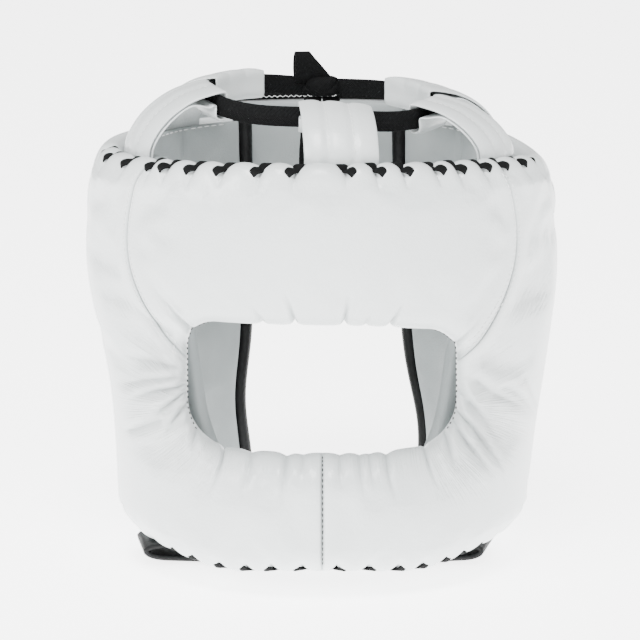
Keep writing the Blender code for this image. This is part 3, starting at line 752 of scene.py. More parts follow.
def outward(vertices, faces):
    # turns the faces round where they enclose a negative volume
    points = np.asarray(vertices)
    total = 0.0
    for face in faces:
        a = points[face[0]]
        for k in range(1, len(face) - 1):
            total += np.dot(a, np.cross(points[face[k]], points[face[k + 1]]))
    return faces if total > 0 else [tuple(reversed(face)) for face in faces]


def addPad(name, outer, inner, finish, backFinish=None):
    # a closed pad from two grids of points, joined round their edges
    rows, columns = outer.shape[:2]
    vertices = np.concatenate((outer.reshape(-1, 3), inner.reshape(-1, 3)))
    shift = rows * columns
    front = []
    back = []
    for i in range(rows - 1):
        for j in range(columns - 1):
            a = i * columns + j
            b = a + columns
            front.append((a, a + 1, b + 1, b))
            back.append((shift + a, shift + b, shift + b + 1, shift + a + 1))
    rim = [(i, 0) for i in range(rows)] + [(rows - 1, j) for j in range(1, columns)]
    rim += [(i, columns - 1) for i in range(rows - 2, -1, -1)]
    rim += [(0, j) for j in range(columns - 2, 0, -1)]
    rim = [i * columns + j for i, j in rim]
    band = [(a, b, shift + b, shift + a) for a, b in zip(rim, rim[1:] + rim[:1])]
    made = addObject(name, vertices, outward(vertices, front + back + band), finish)
    if backFinish:
        made.data.materials.append(backFinish)
        for k in range(len(front), len(front) + len(back)):
            made.data.polygons[k].material_index = 1
    return made


def paint(made, along, out, **values):
    # the pad's own UV map, in metres, and the values painted on its outer skin
    along, out = np.broadcast_arrays(along, out)
    flat = np.tile(np.stack((along.ravel(), out.ravel()), axis=1), (2, 1))
    corners = np.zeros(len(made.data.loops), dtype=int)
    made.data.loops.foreach_get("vertex_index", corners)
    made.data.uv_layers.new(name="face").data.foreach_set("uv", flat[corners].ravel())
    for name, value in values.items():
        value = np.broadcast_to(value, along.shape).ravel()
        layer = made.data.attributes.new(name, "FLOAT", "POINT")
        layer.data.foreach_set("value", np.concatenate((np.clip(value, 0, 1), np.zeros(len(value)))))


def addBand(name, path, wide, thick, profile, finish):
    # a profile of (wide, thick) pairs carried along a path, closed at both ends
    count = len(profile)
    vertices = []
    for place, w, t in zip(path, wide, thick):
        vertices += [place + w * a + t * b for a, b in profile]
    steps = [0.0]
    for before, after in zip(path, path[1:]):
        steps.append(steps[-1] + (after - before).length)
    faces = []
    uv = []
    for i in range(len(path) - 1):
        for k in range(count):
            k2 = (k + 1) % count
            faces.append((i * count + k, i * count + k2, (i + 1) * count + k2, (i + 1) * count + k))
            low, high = profile[k][0], profile[k2][0]
            uv += [(steps[i], low), (steps[i], high), (steps[i + 1], high), (steps[i + 1], low)]
    faces.append(tuple(range(count - 1, -1, -1)))
    uv += [(0.0, profile[k][0]) for k in range(count - 1, -1, -1)]
    last = (len(path) - 1) * count
    faces.append(tuple(range(last, last + count)))
    uv += [(steps[-1], profile[k][0]) for k in range(count)]
    turned = outward(vertices, faces)
    if turned is not faces:
        sizes = [len(face) for face in faces]
        starts = np.cumsum([0] + sizes)
        uv = [uv[starts[n] + k] for n in range(len(faces)) for k in range(sizes[n] - 1, -1, -1)]
    return addObject(name, vertices, turned, finish, uv)


def flatProfile(width, thickness, sides=5):
    # a flat band with rounded edges
    half = width / 2 - thickness / 2
    turns = [pi * k / sides for k in range(sides + 1)]
    right = [(half + thickness / 2 * sin(a), -thickness / 2 * cos(a)) for a in turns]
    left = [(-half - thickness / 2 * sin(a), thickness / 2 * cos(a)) for a in turns]
    return right + [(0.0, thickness / 2)] + left + [(0.0, -thickness / 2)]


def roundProfile(width, thickness, sides=16):
    turns = [2 * pi * (k + 0.5) / sides for k in range(sides)]
    return [(width / 2 * cos(a), thickness / 2 * sin(a)) for a in turns]


def keep(made, slot, *nodes):
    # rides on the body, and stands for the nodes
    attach(made, "root")
    if nodes:
        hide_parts(*nodes)


# Crown lace: a flat lace on edge, round the crown, and what is tied in it

lace = {
    "width": 0.010,
    "thickness": 0.0018,
    "ringRadius": 0.060,
    "ringSag": 0.0015,
    "ringTilt": 0.055,
    "steps": 220,
}

knot = {
    "width": 0.020,
    "height": 0.0108,
    "depth": 0.015,
    "lift": 0.0008,
    "sides": 48,
    "rings": 30,
}

tail = {
    "length": 0.070,
    "spread": 0.0075,
    "sway": 0.006,
    "width": 0.009,
    "steps": 60,
}


def ringHeight(turn):
    sag = lace["ringSag"] * np.sin(2.5 * turn) ** 2
    return -sag - lace["ringTilt"] * lace["ringRadius"] * np.sin(turn)


def ringPoint(turn):
    radius = lace["ringRadius"]
    return Vector((radius * sin(turn), -radius * cos(turn), float(ringHeight(turn))))


def knotCentre():
    return ringPoint(pi) + Vector((0, 0, knot["lift"]))


def tailPoint(side, share):
    start = knotCentre() - Vector((0, 0, knot["height"] / 2 + padding["restGap"]))
    swing = tail["spread"] * side * (0.62 + 0.38 * sin(pi * share * 0.9))
    back = -tail["sway"] * sin(pi * share) * (1 + 0.4 * side)
    return start + Vector((swing, back, -tail["length"] * share * 0.985))


def makeTails():
    for word, side in (("Left", -1), ("Right", 1)):
        path = [tailPoint(side, k / tail["steps"]) for k in range(tail["steps"] + 1)]
        wide = []
        thick = []
        for k in range(len(path)):
            twist = radians(10 + 22 * side * k / tail["steps"])
            wide.append(Vector((cos(twist), sin(twist), 0)))
            thick.append(Vector((-sin(twist), cos(twist), 0)))
        profile = flatProfile(tail["width"], lace["thickness"])
        made = addBand("laceTail" + word, path, wide, thick, profile, finishes["black_lace"])
        keep(made, "black_lace", "lace_tail_" + word.lower())


def makeCrownLace():
    reach = pi - knot["width"] * 0.38 / lace["ringRadius"]
    path = []
    thick = []
    for k in range(lace["steps"] + 1):
        turn = -reach + 2 * reach * k / lace["steps"]
        path.append(ringPoint(turn))
        thick.append(Vector((sin(turn), -cos(turn), 0)))
    wide = [Vector((0, 0, 1))] * len(path)
    profile = flatProfile(lace["width"], lace["thickness"])
    made = addBand("crownLace", path, wide, thick, profile, finishes["black_lace"])
    keep(made, "black_lace", "crown_lace")


def makeKnot():
    # a pulled knot: a body with the wraps of the lace pressed into it
    centre = knotCentre()
    sides, rings = knot["sides"], knot["rings"]
    vertices = []
    for i in range(1, rings):
        up = pi * i / rings - pi / 2
        for k in range(sides):
            a = 2 * pi * k / sides
            lump = 1 + 0.07 * sin(3 * a + 2.0 * up) + 0.05 * sin(2 * a - 3 * up)
            groove = 0.10 * hill(sin(a + up * 1.3 - 0.5), 0.16)
            groove += 0.08 * hill(sin(a - up * 1.1 + 0.9), 0.14)
            size = abs(cos(up)) ** 0.6 * (lump - groove)
            place = Vector((knot["width"] / 2 * cos(a) * size, knot["depth"] / 2 * sin(a) * size,
                            knot["height"] / 2 * sin(up)))
            vertices.append(centre + place)
    low = len(vertices)
    vertices += [centre - Vector((0, 0, knot["height"] / 2)), centre + Vector((0, 0, knot["height"] / 2))]
    faces = []
    for i in range(rings - 2):
        for k in range(sides):
            a = i * sides + k
            b = i * sides + (k + 1) % sides
            faces.append((a, b, b + sides, a + sides))
    last = (rings - 2) * sides
    for k in range(sides):
        faces.append((low, (k + 1) % sides, k))
        faces.append((low + 1, last + k, last + (k + 1) % sides))
    made = addObject("laceKnot", vertices, outward(vertices, faces), finishes["black_lace"])
    uv = made.data.uv_layers.new(name="tape")
    for loop in made.data.loops:
        place = made.data.vertices[loop.vertex_index].co
        uv.data[loop.index].uv = (place.x + place.z * 0.4, place.z)
    keep(made, "black_lace", "lace_knot")


bow = {
    "height": 0.0145,
    "depth": 0.008,
    "width": 0.0200,
    "topWidth": 0.40,           # share of the width that is left at the top
    "turn": 0.15,
    "sunk": 0.0028,             # how deep its foot lies in the knot
    "shift": 0.0062,            # how far its top stands to the left of the knot's middle
    "steps": 60,
}


def makeBow():
    foot = knotCentre() + Vector((-knot["width"] * 0.20, 0, knot["height"] / 2 - bow["sunk"]))
    aside = Vector((cos(bow["turn"]), sin(bow["turn"]), 0))
    back = Vector((-sin(bow["turn"]), cos(bow["turn"]), 0))
    path = []
    thick = []
    wide = []
    for k in range(bow["steps"] + 1):
        a = radians(-80 + 340 * k / bow["steps"])
        share = (1 + sin(a)) / 2
        high = bow["height"] * share
        path.append(foot + back * (bow["depth"] / 2 * cos(a)) - aside * (bow["shift"] * share)
                    + Vector((0, 0, high)))
        way = back * (cos(a) / bow["depth"]) + Vector((0, 0, sin(a) / bow["height"]))
        thick.append(way.normalized())
        wide.append(aside * (1 - (1 - bow["topWidth"]) * share ** 1.2))
    profile = flatProfile(bow["width"], lace["thickness"])
    made = addBand("laceBow", path, wide, thick, profile, finishes["black_lace"])
    keep(made, "black_lace", "lace_bow")


makeTails()
makeCrownLace()
makeKnot()
makeBow()
print("lace made")


# Padding worked out as cloth: the pad swells a little between its seams

swelling = {
    "voxel": 0.005,
    "pressure": 4.0,
    "slack": 0.06,              # spare leather, as a share, that the padding takes up
    "frames": 20,
    "cap": 0.0045,              # furthest that a point may move
    "strength": 0.65,
}


def swell(name, skin, back, held):
    # how far each point of a skin moves when the closed pad is blown up with its seams held
    moved = np.zeros_like(skin)
    rows = np.unique(np.r_[0:skin.shape[0]:4, skin.shape[0] - 1])
    columns = np.unique(np.r_[0:skin.shape[1]:4, skin.shape[1] - 1])
    coarse = np.ix_(rows, columns)
    work = addPad(name + "Work", skin[coarse], back[coarse], finishes["white_leather"])
    remesh = work.modifiers.new("remesh", "REMESH")
    remesh.mode = "VOXEL"
    remesh.voxel_size = swelling["voxel"]
    ready = work.evaluated_get(bpy.context.evaluated_depsgraph_get())
    even = bpy.data.meshes.new_from_object(ready)
    work.modifiers.remove(remesh)
    work.data = even
    known = KDTree(skin.size // 3)
    for k, place in enumerate(skin.reshape(-1, 3)):
        known.insert(place, k)
    known.balance()
    still = np.broadcast_to(held, skin.shape[:2]).ravel()
    group = work.vertex_groups.new(name="held")
    weights = []
    for vertex in even.vertices:
        place, k, away = known.find(vertex.co)
        weights.append(1.0 if away > swelling["voxel"] * 0.9 else float(still[k]))
        group.add([vertex.index], weights[-1], "REPLACE")
    cloth = work.modifiers.new("cloth", "CLOTH")
    cloth.settings.vertex_group_mass = "held"
    cloth.settings.use_pressure = True
    cloth.settings.uniform_pressure_force = swelling["pressure"]
    cloth.settings.effector_weights.gravity = 0
    cloth.settings.shrink_min = -swelling["slack"]
    cloth.settings.bending_stiffness = 0.15
    cloth.settings.quality = 5
    cloth.point_cache.frame_start = 1
    cloth.point_cache.frame_end = swelling["frames"]
    for step in range(1, swelling["frames"] + 1):
        bpy.context.scene.frame_set(step)
    ready = work.evaluated_get(bpy.context.evaluated_depsgraph_get())
    after = np.zeros(len(even.vertices) * 3)
    ready.data.vertices.foreach_get("co", after)
    before = np.zeros_like(after)
    even.vertices.foreach_get("co", before)
    before = before.reshape(-1, 3)
    way = after.reshape(-1, 3) - before
    length = np.linalg.norm(way, axis=1, keepdims=True)
    way *= np.minimum(1.0, swelling["cap"] / np.maximum(length, 1e-9))
    loose = np.flatnonzero(np.array(weights) < 0.999)
    print("cloth", name, len(before), "points,", len(loose), "loose, moved",
          round(float(length[loose].mean()) * 1000, 2), "mm")
    bpy.context.scene.frame_set(1)
    bpy.data.objects.remove(work)
    near = KDTree(len(loose))
    for k in loose:
        near.insert(before[k], int(k))
    near.balance()
    flat = moved.reshape(-1, 3)
    reach = swelling["voxel"] * 1.1
    for k, place in enumerate(skin.reshape(-1, 3)):
        if still[k] < 0.999:
            found = near.find_n(place, 8)
            parts = np.array([np.exp(-(away / reach) ** 2) for spot, n, away in found])
            flat[k] = (way[[n for spot, n, away in found]] * parts[:, None]).sum(axis=0) / parts.sum()
    # the swelling is kept and the growth it brings is taken off again
    out = skin.reshape(-1, 3) * (1, 1, 0)
    out /= np.linalg.norm(out, axis=1, keepdims=True)
    share = (1 - still) / max(1e-9, (1 - still).sum())
    grown = ((flat * out).sum(axis=1) * share).sum()
    return (moved - (out * grown).reshape(skin.shape)) * (1 - held)[..., None] * swelling["strength"]


# Eye opening and the seams beside it

opening = {"halfWidth": 0.0655, "height": 0.062, "drop": 0.079, "radius": 0.014, "footRadius": 0.021}
seam = {"topTurn": 50.0, "bulge": 11.0, "openingShare": 0.44}


def openingEdge(share):
    # distance across and down the opening, from its top centre (0) to its bottom centre (1)
    corner = np.linspace(0, pi / 2, 16)
    top, foot = opening["radius"], opening["footRadius"]
    across = np.concatenate(([0], opening["halfWidth"] - top * (1 - np.sin(corner)),
                             opening["halfWidth"] - foot * (1 - np.cos(corner)), [0]))
    down = np.concatenate(([0], top * (1 - np.cos(corner)),
                           opening["height"] - foot * (1 - np.sin(corner)), [opening["height"]]))
    along = np.concatenate(([0], np.cumsum(np.hypot(np.diff(across), np.diff(down)))))
    return np.interp(share * along[-1], along, across), np.interp(share * along[-1], along, down)


def openingPlace(share):
    across, down = openingEdge(share)
    drop = (opening["drop"] + down) / head["faceHeight"]
    return np.arcsin(across / halfWidth(drop)), drop


def seamPlace(share):
    # the forehead's side seam, from the opening's corner (0) to the top rim (1)
    turn, drop = openingPlace(seam["openingShare"])
    bulge = radians(seam["bulge"]) * np.sin(pi * share)
    return turn + (radians(seam["topTurn"]) - turn) * share + bulge, drop * (1 - share)


def openingDistance(turn, drop):
    middle = (opening["drop"] + opening["height"] / 2) / head["faceHeight"]
    flat = np.clip(np.abs(turn), 1e-6, 1.0)
    across = np.abs(turn) * halfWidth(drop) * np.sin(flat) / flat
    radius = np.where(drop < middle, opening["radius"], opening["footRadius"])
    dx = across - (opening["halfWidth"] - radius)
    dz = np.abs(drop - middle) * head["faceHeight"] - (opening["height"] / 2 - radius)
    return np.hypot(np.maximum(dx, 0.0), np.maximum(dz, 0.0)) - radius


def squareToFace(turn, drop, inset, share):
    # carries the opening's walls straight back, not towards the middle of the head
    wide = np.sin(np.abs(turn)) * halfWidth(drop) / (halfWidth(drop) - inset)
    straight = np.arcsin(np.minimum(0.98, wide))
    return (np.abs(turn) + (straight - np.abs(turn)) * share) * np.where(turn >= 0, 1, -1)


gathers = {
    "lift": 0.0024,             # how far a gather draws the opening's edge
    "liftReach": 0.30,
    "floor": 0.55,              # width of the painted shade on a gather's floor, as a share of the gather's
    "shoulder": 0.35,           # height of the leather pushed up beside it
}


def gatherAt(value, rows, out):
    # depth of the gathers, how much painted shade each point takes at a gather's floor, and their draw on
    # the edge
    deep = 0.0
    shadeShare = 0.0
    lift = 0.0
    for place, lean, end, size, width in rows:
        offset = value - place - lean * out
        along = 1 - rise(out / end)
        full = size / creasing["fullDepth"]
        shoulder = gathers["shoulder"] * hill(np.abs(offset) - 2.2 * width, 1.4 * width)
        deep = deep + size * along * (pleat(offset, width) - shoulder)
        shadeShare = np.maximum(shadeShare, full * along * pleat(offset, width * gathers["floor"]))
        lift = lift + full * pleat(offset, width * 2.2) * (1 - rise(out / gathers["liftReach"]))
    return deep, shadeShare, lift * gathers["lift"] / head["faceHeight"]


pads = {
    "roll": 0.015,
    "rimCrest": (0.52, 0.60),
    "openingCrest": (0.50, 0.62),
    "seamWidth": 0.0060,
    "seamCrest": (0.060, 0.97),
    "barSeamCrest": (0.075, 0.97),
    "wingWidth": 0.009,
    "wingCrest": (0.35, 0.90),
    "unevenness": 0.0005,
    "heldWidth": 0.016,         # how far from a seam the leather is held
    "deepest": 0.56,            # share of the thickness that no fold passes
    "seamShadeWidth": 0.0010,        # half width of the painted shade along a seam
}

forehead = {
    "columns": 300,
    "rows": 84,
    "along": 0.15,              # metres of leather along and out, for the finish
    "out": 0.08,
    # place across, lean, reach, depth and width of each gather over the opening
    "gathers": (
        (-0.83, -0.10, 0.34, 0.0026, 0.013),
        (-0.36, -0.06, 0.16, 0.0016, 0.012),
        (-0.164, -0.05, 0.26, 0.0026, 0.010),
        (0.134, -0.02, 0.26, 0.0026, 0.010),
        (0.265, 0.02, 0.10, 0.0012, 0.010),
        (0.410, 0.08, 0.20, 0.0022, 0.010),
        (0.870, 0.05, 0.22, 0.0016, 0.013),
    ),
}


def browPlace(across, up):
    side = np.abs(across)
    lowTurn, lowDrop = openingPlace(side * seam["openingShare"])
    edgeTurn = seamPlace(up)[0]
    cornerTurn = openingPlace(seam["openingShare"])[0]
    top = radians(seam["topTurn"])
    turn = lowTurn + (top * side - lowTurn) * up
    turn = turn + (edgeTurn - (cornerTurn + (top - cornerTurn) * up)) * side
    return turn * np.where(across >= 0, 1, -1), lowDrop * (1 - up) + 0 * side


# painted shade along a seam's line, strongest on the line
def seamShade(distance):
    return hill(distance, pads["seamShadeWidth"])


def makeForehead():
    across = np.linspace(-1, 1, forehead["columns"] + 1)[:, None]
    up = bunched(forehead["rows"], 0.6)[None, :]
    turn, drop = browPlace(across, up)
    rimDistance = drop * head["faceHeight"]
    seamDistance = (seamPlace(up)[0] - np.abs(turn)) * head["halfWidth"]
    holeDistance = openingDistance(turn, drop)
    edges = (
        (rimDistance, pads["roll"], pads["rimCrest"]),
        (holeDistance, pads["roll"], pads["openingCrest"]),
        (seamDistance, pads["seamWidth"], pads["seamCrest"]),
    )
    thick = padThickness(turn, drop)
    plain, back = skins(edges, thick)
    square = (1 - up) ** 2
    inner = wall(squareToFace(turn, drop, back, square), drop, back)
    nearest = np.minimum.reduce([rimDistance, holeDistance, seamDistance])
    held = 1 - rise(nearest / pads["heldWidth"])
    smooth = wall(squareToFace(turn, drop, plain, square), drop, plain)
    moved = swell("foreheadPad", smooth, inner, held)
    sink, pinch = drawnRim(turn, rimDistance, topLacing)
    deep, shadeShare, lift = gatherAt(across, forehead["gathers"], up)
    crease, creased = creaseAt(turn, drop, creases)
    skin = plain + deep + crease + soften(dents, turn, drop)
    skin = skin + pads["unevenness"] * ripple(turn, drop, 3.0, 1.0)
    skin = np.minimum(skin + pinch, thick * pads["deepest"])
    # painted shade mask: darker floors of gathers, creases and seams
    shadeMask = np.maximum.reduce([shadeShare, creased, seamShade(seamDistance)])
    drop = drop + (sink + soften(sags, turn, drop)) / head["faceHeight"] - lift
    fine = soften(wrinkled, turn, drop)
    outer = wall(squareToFace(turn, drop, skin, square), drop, skin) + moved
    inner = wall(squareToFace(turn, drop, back, square), drop, back)
    made = addPad("foreheadPad", outer, inner, finishes["white_leather"])
    paint(made, across * forehead["along"], up * forehead["out"], pressed=shadeMask, creased=fine)
    keep(made, "white_leather", "forehead_pad")
    return made


# Side pads: cheek, ear and wing, each with its half of the bar

spokes = {
    "spoke": (0.00, 0.20, 0.36, 0.47, 0.58, 0.72, 0.86, 1.00),
    "opening": (0.44, 0.478, 0.505, 0.540, 0.575, 0.640, 0.740, 1.000),
    "turn": (0.000, 0.480, 1.000, 1.000, 1.000, 0.560, 0.250, 0.000),
    "drop": (0.00, 0.00, 0.00, 0.50, 1.00, 1.00, 1.00, 1.00),
}

sidePads = {
    "columns": 460,
    "rows": 104,
    "along": 0.45,
    "out": 0.10,
    # spoke, lean, reach, depth and width of each gather under the opening
    "leftGathers": (
        (0.850, 0.00, 0.40, 0.0018, 0.0045),
        (0.897, 0.00, 0.36, 0.0017, 0.0045),
        (0.9486, 0.00, 0.42, 0.0022, 0.0040),
        (0.9725, 0.00, 0.20, 0.0012, 0.0040),
    ),
    "rightGathers": (
        (0.832, 0.01, 0.34, 0.0018, 0.0045),
        (0.906, 0.00, 0.42, 0.0024, 0.0040),
        (0.9300, 0.00, 0.30, 0.0012, 0.0040),
        (0.9455, 0.00, 0.36, 0.0016, 0.0040),
        (0.974, 0.00, 0.26, 0.0014, 0.0040),
    ),
}


def spokePlace(side, spoke, out):
    nearTurn, nearDrop = openingPlace(np.interp(spoke, spokes["spoke"], spokes["opening"]))
    share = np.interp(spoke, spokes["spoke"], spokes["turn"])
    farDrop = np.interp(spoke, spokes["spoke"], spokes["drop"])
    start = np.where(farDrop < 0.5, radians(seam["topTurn"]), 0.0)
    farTurn = start + (rearTurn(side, farDrop) - start) * share
    bulge = (1 - rise(spoke / 0.20)) * radians(seam["bulge"]) * np.sin(pi * out)
    return nearTurn + (farTurn - nearTurn) * out + bulge, nearDrop + (farDrop - nearDrop) * out


def makeSidePad(word, side):
    spoke = np.linspace(0, 1, sidePads["columns"] + 1)[:, None]
    out = bunched(sidePads["rows"], 0.6)[None, :]
    turn, drop = spokePlace(side, spoke, out)
    cornerDrop = openingPlace(seam["openingShare"])[1]
    seamTurn = seamPlace(1 - np.minimum(1.0, drop / cornerDrop))[0]
    seamDistance = np.where(drop < cornerDrop, (turn - seamTurn) * head["halfWidth"], 1.0)
    barDistance = np.where(drop > head["barTop"], turn * head["frontDepth"], 1.0)
    topDistance = drop * head["faceHeight"]
    footDistance = (1 - drop) * head["faceHeight"]
    holeDistance = openingDistance(turn, drop)
    rearDistance = (rearTurn(side, drop) - turn) * head["halfWidth"]
    edges = (
        (topDistance, pads["roll"], pads["rimCrest"]),
        (footDistance, pads["roll"], pads["rimCrest"]),
        (holeDistance, pads["roll"], pads["openingCrest"]),
        (rearDistance, pads["wingWidth"], pads["wingCrest"]),
        (seamDistance, pads["seamWidth"], pads["seamCrest"]),
        (barDistance, pads["seamWidth"], pads["barSeamCrest"]),
    )
    thick = padThickness(turn, drop)
    plain, back = skins(edges, thick)
    square = (1 - out) ** 2
    inner = wall(side * squareToFace(turn, drop, back, square), drop, back)
    nearest = np.minimum.reduce([distance + 0 * turn for distance, width, crest in edges])
    held = 1 - rise(nearest / pads["heldWidth"])
    smooth = wall(side * squareToFace(turn, drop, plain, square), drop, plain)
    moved = swell("sidePad" + word, smooth, inner, held)
    deep, shadeShare, lift = gatherAt(spoke, sidePads[word.lower() + "Gathers"], out)
    crease, creased = creaseAt(side * turn, drop, creases)
    skin = plain + deep + crease + soften(dents, side * turn, drop)
    skin = skin + pads["unevenness"] * ripple(turn, drop, 3.0, 5.0 + side)
    topSink, topPinch = drawnRim(side * turn, topDistance, topLacing)
    footSink, footPinch = drawnRim(side * turn, footDistance, footLacing)
    skin = np.minimum(skin + topPinch + footPinch, np.maximum(plain, thick * pads["deepest"]))
    fine = soften(wrinkled, side * turn, drop)
    # painted shade mask: darker floors of gathers, creases, seams and the bar's seam
    shadeMask = np.maximum.reduce([shadeShare, creased, seamShade(seamDistance), seamShade(barDistance)])
    sunk = topSink - footSink + soften(sags, side * turn, drop)
    drop = drop + sunk / head["faceHeight"] + lift
    outer = wall(side * squareToFace(turn, drop, skin, square), drop, skin) + moved
    inner = wall(side * squareToFace(turn, drop, back, square), drop, back)
    made = addPad("sidePad" + word, outer, inner, finishes["white_leather"])
    paint(made, spoke * sidePads["along"], out * sidePads["out"], pressed=shadeMask, creased=fine)
    keep(made, "white_leather", "side_pad_" + word.lower())
    return made


linings = {
    "columns": 170,
    "rows": 90,
    "roll": 0.010,
    "setBack": 0.0020,
    "rimCrest": (0.45, 0.55),
    "frontCrest": (0.30, 0.60),
    "rearCrest": (0.15, 0.80),
    "channels": (0.22, 0.50, 0.78),
    "channelDepth": 0.0022,
    "channelWidth": 0.016,
    "heldWidth": 0.012,
    "thinnest": 0.0014,
    "unevenness": 0.0004,
    "swollen": 0.5,             # share of the swelling that shows on the inner face
    # the left lining hangs a little below the bar beside the chin
    "dip": 0.034,
    "dipTurn": 38.0,
    "dipWidth": 10.0,
}

# front edge of a lining: share of the height, and degrees round from the front
liningFront = {
    "drop": (0.00, 0.40, 0.70, 0.86, 1.10),
    "turn": (56.0, 50.0, 49.0, 36.0, 30.0),
}


def makeLining(word, side):
    along = bunched(linings["columns"], 0.15)[:, None]
    down = bunched(linings["rows"], 0.6)[None, :]
    setBack = linings["setBack"] / head["faceHeight"]
    drop = setBack + (1 - 2 * setBack) * down + 0 * along
    front = np.radians(readSmooth(liningFront, "turn", drop))
    rear = rearTurn(side, drop) - padding["restGap"] / head["halfWidth"]
    turn = front + (rear - front) * along
    thick = liningThickness(turn, drop)
    edges = (
        (drop * head["faceHeight"], linings["roll"], linings["rimCrest"]),
        ((1 - drop) * head["faceHeight"], linings["roll"], linings["rimCrest"]),
        ((turn - front) * head["halfWidth"], linings["roll"], linings["frontCrest"]),
        ((rear - turn) * head["halfWidth"], linings["roll"], linings["rearCrest"]),
    )
    skin, back = skins(edges, thick)
    base = padThickness(turn, drop) + padding["restGap"] + padding["liningEase"]
    nearest = np.minimum.reduce([edge[0] for edge in edges])
    groove = sum(pleat(along - c, linings["channelWidth"]) for c in linings["channels"])
    held = 1 - rise(nearest / linings["heldWidth"]) * (1 - np.clip(groove, 0, 1))
    outer = wall(side * turn, drop, base + skin)
    moved = swell("sideLining" + word, wall(side * turn, drop, base + back), outer, held)
    back = back - linings["channelDepth"] * groove
    back = back + linings["unevenness"] * ripple(turn, drop, 6.0, 9.0 + side)
    drop = drop + soften(rimSags, side * turn, drop) / head["faceHeight"]
    if side < 0:
        dip = hill(np.degrees(turn) - linings["dipTurn"], linings["dipWidth"])
        drop = drop + linings["dip"] * dip * rise((drop - 0.80) / 0.20)
    outer = wall(side * turn, drop, base + skin)
    back = np.maximum(back, skin + linings["thinnest"])
    inner = wall(side * turn, drop, base + back) + linings["swollen"] * moved
    made = addPad("sideLining" + word, outer, inner, finishes["grey_lining"])
    keep(made, "grey_lining", "side_lining_" + word.lower())
    return made


binding = {"width": 0.0095, "depth": 0.016, "steps": 80}


def makeWingBinding(word, side):
    path = []
    thick = []
    wide = []
    setBack = linings["setBack"] / head["faceHeight"]
    for share in bunched(binding["steps"], 0.2):
        drop = setBack + (1 - 2 * setBack) * share
        turn = float(rearTurn(side, drop) + (binding["width"] / 2 + padding["restGap"]) / halfWidth(drop))
        place = wallPoint(side * turn, drop, wallThickness(turn, drop) / 2)
        outwards = Vector((place.x, place.y, 0)).normalized()
        path.append(place)
        thick.append(outwards)
        wide.append(Vector((-outwards.y, outwards.x, 0)))
    profile = roundProfile(binding["width"], binding["depth"])
    made = addBand("wingBinding" + word, path, wide, thick, profile, finishes["black_leather"])
    keep(made, "black_leather", "wing_binding_" + word.lower())


padPieces = [makeForehead()]
liningPieces = {}
for word, side in (("Left", -1), ("Right", 1)):
    padPieces.append(makeSidePad(word, side))
    liningPieces[word] = makeLining(word, side)
    makeWingBinding(word, side)
print("pads made")


# Back panel, outside the gap between the wings

backPanel = {
    "halfWidth": 0.072,
    "height": 0.108,
    "rise": 0.006,
    "thickness": 0.008,
    "columns": 120,
    "rows": 80,
    "topCrest": (0.15, 0.85),
    "footCrest": (0.40, 0.60),
    "sideCrest": (0.45, 0.75),
    "heldWidth": 0.014,
    "unevenness": 0.0004,
    "bindingSteps": 120,
    "bindingReach": 0.97,
    "bindingHeight": 0.0045,
    # the soft strip inside its top edge
    "stripHeight": 0.0066,
    "stripThickness": 0.0022,
    "stripInset": 0.0009,
    "stripDown": 0.036,
    "stripReach": 0.60,
    "stripSteps": 90,
}


def backPlace(across, down):
    reach = np.arcsin(backPanel["halfWidth"] / head["halfWidth"])
    drop = (-backPanel["rise"] + backPanel["height"] * down) / head["faceHeight"]
    return pi + across * reach, drop


def makeBackPanel():
    across = (2 * bunched(backPanel["columns"], 0.3) - 1)[:, None]
    down = bunched(backPanel["rows"], 0.6)[None, :]
    turn, drop = backPlace(across, down)
    thickness = backPanel["thickness"]
    edges = (
        (down * backPanel["height"] + 0 * turn, thickness, backPanel["topCrest"]),
        ((1 - down) * backPanel["height"] + 0 * turn, thickness, backPanel["footCrest"]),
        ((1 - np.abs(across)) * backPanel["halfWidth"] + 0 * drop, thickness, backPanel["sideCrest"]),
    )
    skin, back = skins(edges, thickness)
    lift = thickness + padding["restGap"]
    nearest = np.minimum.reduce([distance for distance, width, crest in edges])
    held = 1 - rise(nearest / backPanel["heldWidth"])
    inner = wall(turn, drop, back - lift)
    moved = swell("backPanel", wall(turn, drop, skin - lift), inner, held)
    skin = skin + backPanel["unevenness"] * ripple(turn, drop, 5.0, 20.0)
    made = addPad("backPanel", wall(turn, drop, skin - lift) + moved, inner,
                  finishes["white_leather"], finishes["grey_lining"])
    keep(made, "white_leather", "back_panel")


def makeBackBinding():
    path = []
    thick = []
    for share in 2 * bunched(backPanel["bindingSteps"], 0.2) - 1:
        turn, drop = backPlace(share * backPanel["bindingReach"], 0.0)
        place = wallPoint(turn, drop, -backPanel["thickness"] / 2 - padding["restGap"])
        place.z += backPanel["bindingHeight"] / 2 + padding["restGap"]
        path.append(place)
        thick.append(Vector((place.x, place.y, 0)).normalized())
    wide = [Vector((0, 0, 1))] * len(path)
    profile = roundProfile(backPanel["bindingHeight"], backPanel["thickness"] * 0.8)
    made = addBand("backBinding", path, wide, thick, profile, finishes["black_lace"])
    keep(made, "black_lace", "back_panel_binding")


zigzag = {
    "reach": 0.56,
    "turns": 56,
    "inset": 0.10,              # share of the panel's thickness
    "low": 0.42,                # shares of the binding's height
    "high": 0.62,
    "thread": 0.0004,
}


def makeBackStitches():
    # white zigzag stitches on the side of the tape that looks to the front
    line = []
    for k in range(zigzag["turns"] + 1):
        turn, drop = backPlace(zigzag["reach"] * (2 * k / zigzag["turns"] - 1), 0.0)
        place = wallPoint(turn, drop, -backPanel["thickness"] * zigzag["inset"])
        place.z += backPanel["bindingHeight"] * (zigzag["high"] if k % 2 else zigzag["low"])
        line.append(place)
    facing = [[Vector((-p.x, -p.y, 0)).normalized() for p in line]]
    made = bands.run("backStitches", [line], whiteThread, facing,
                     Width=zigzag["thread"], Thickness=zigzag["thread"], Taper=0.0)
    keep(made, "white_leather")


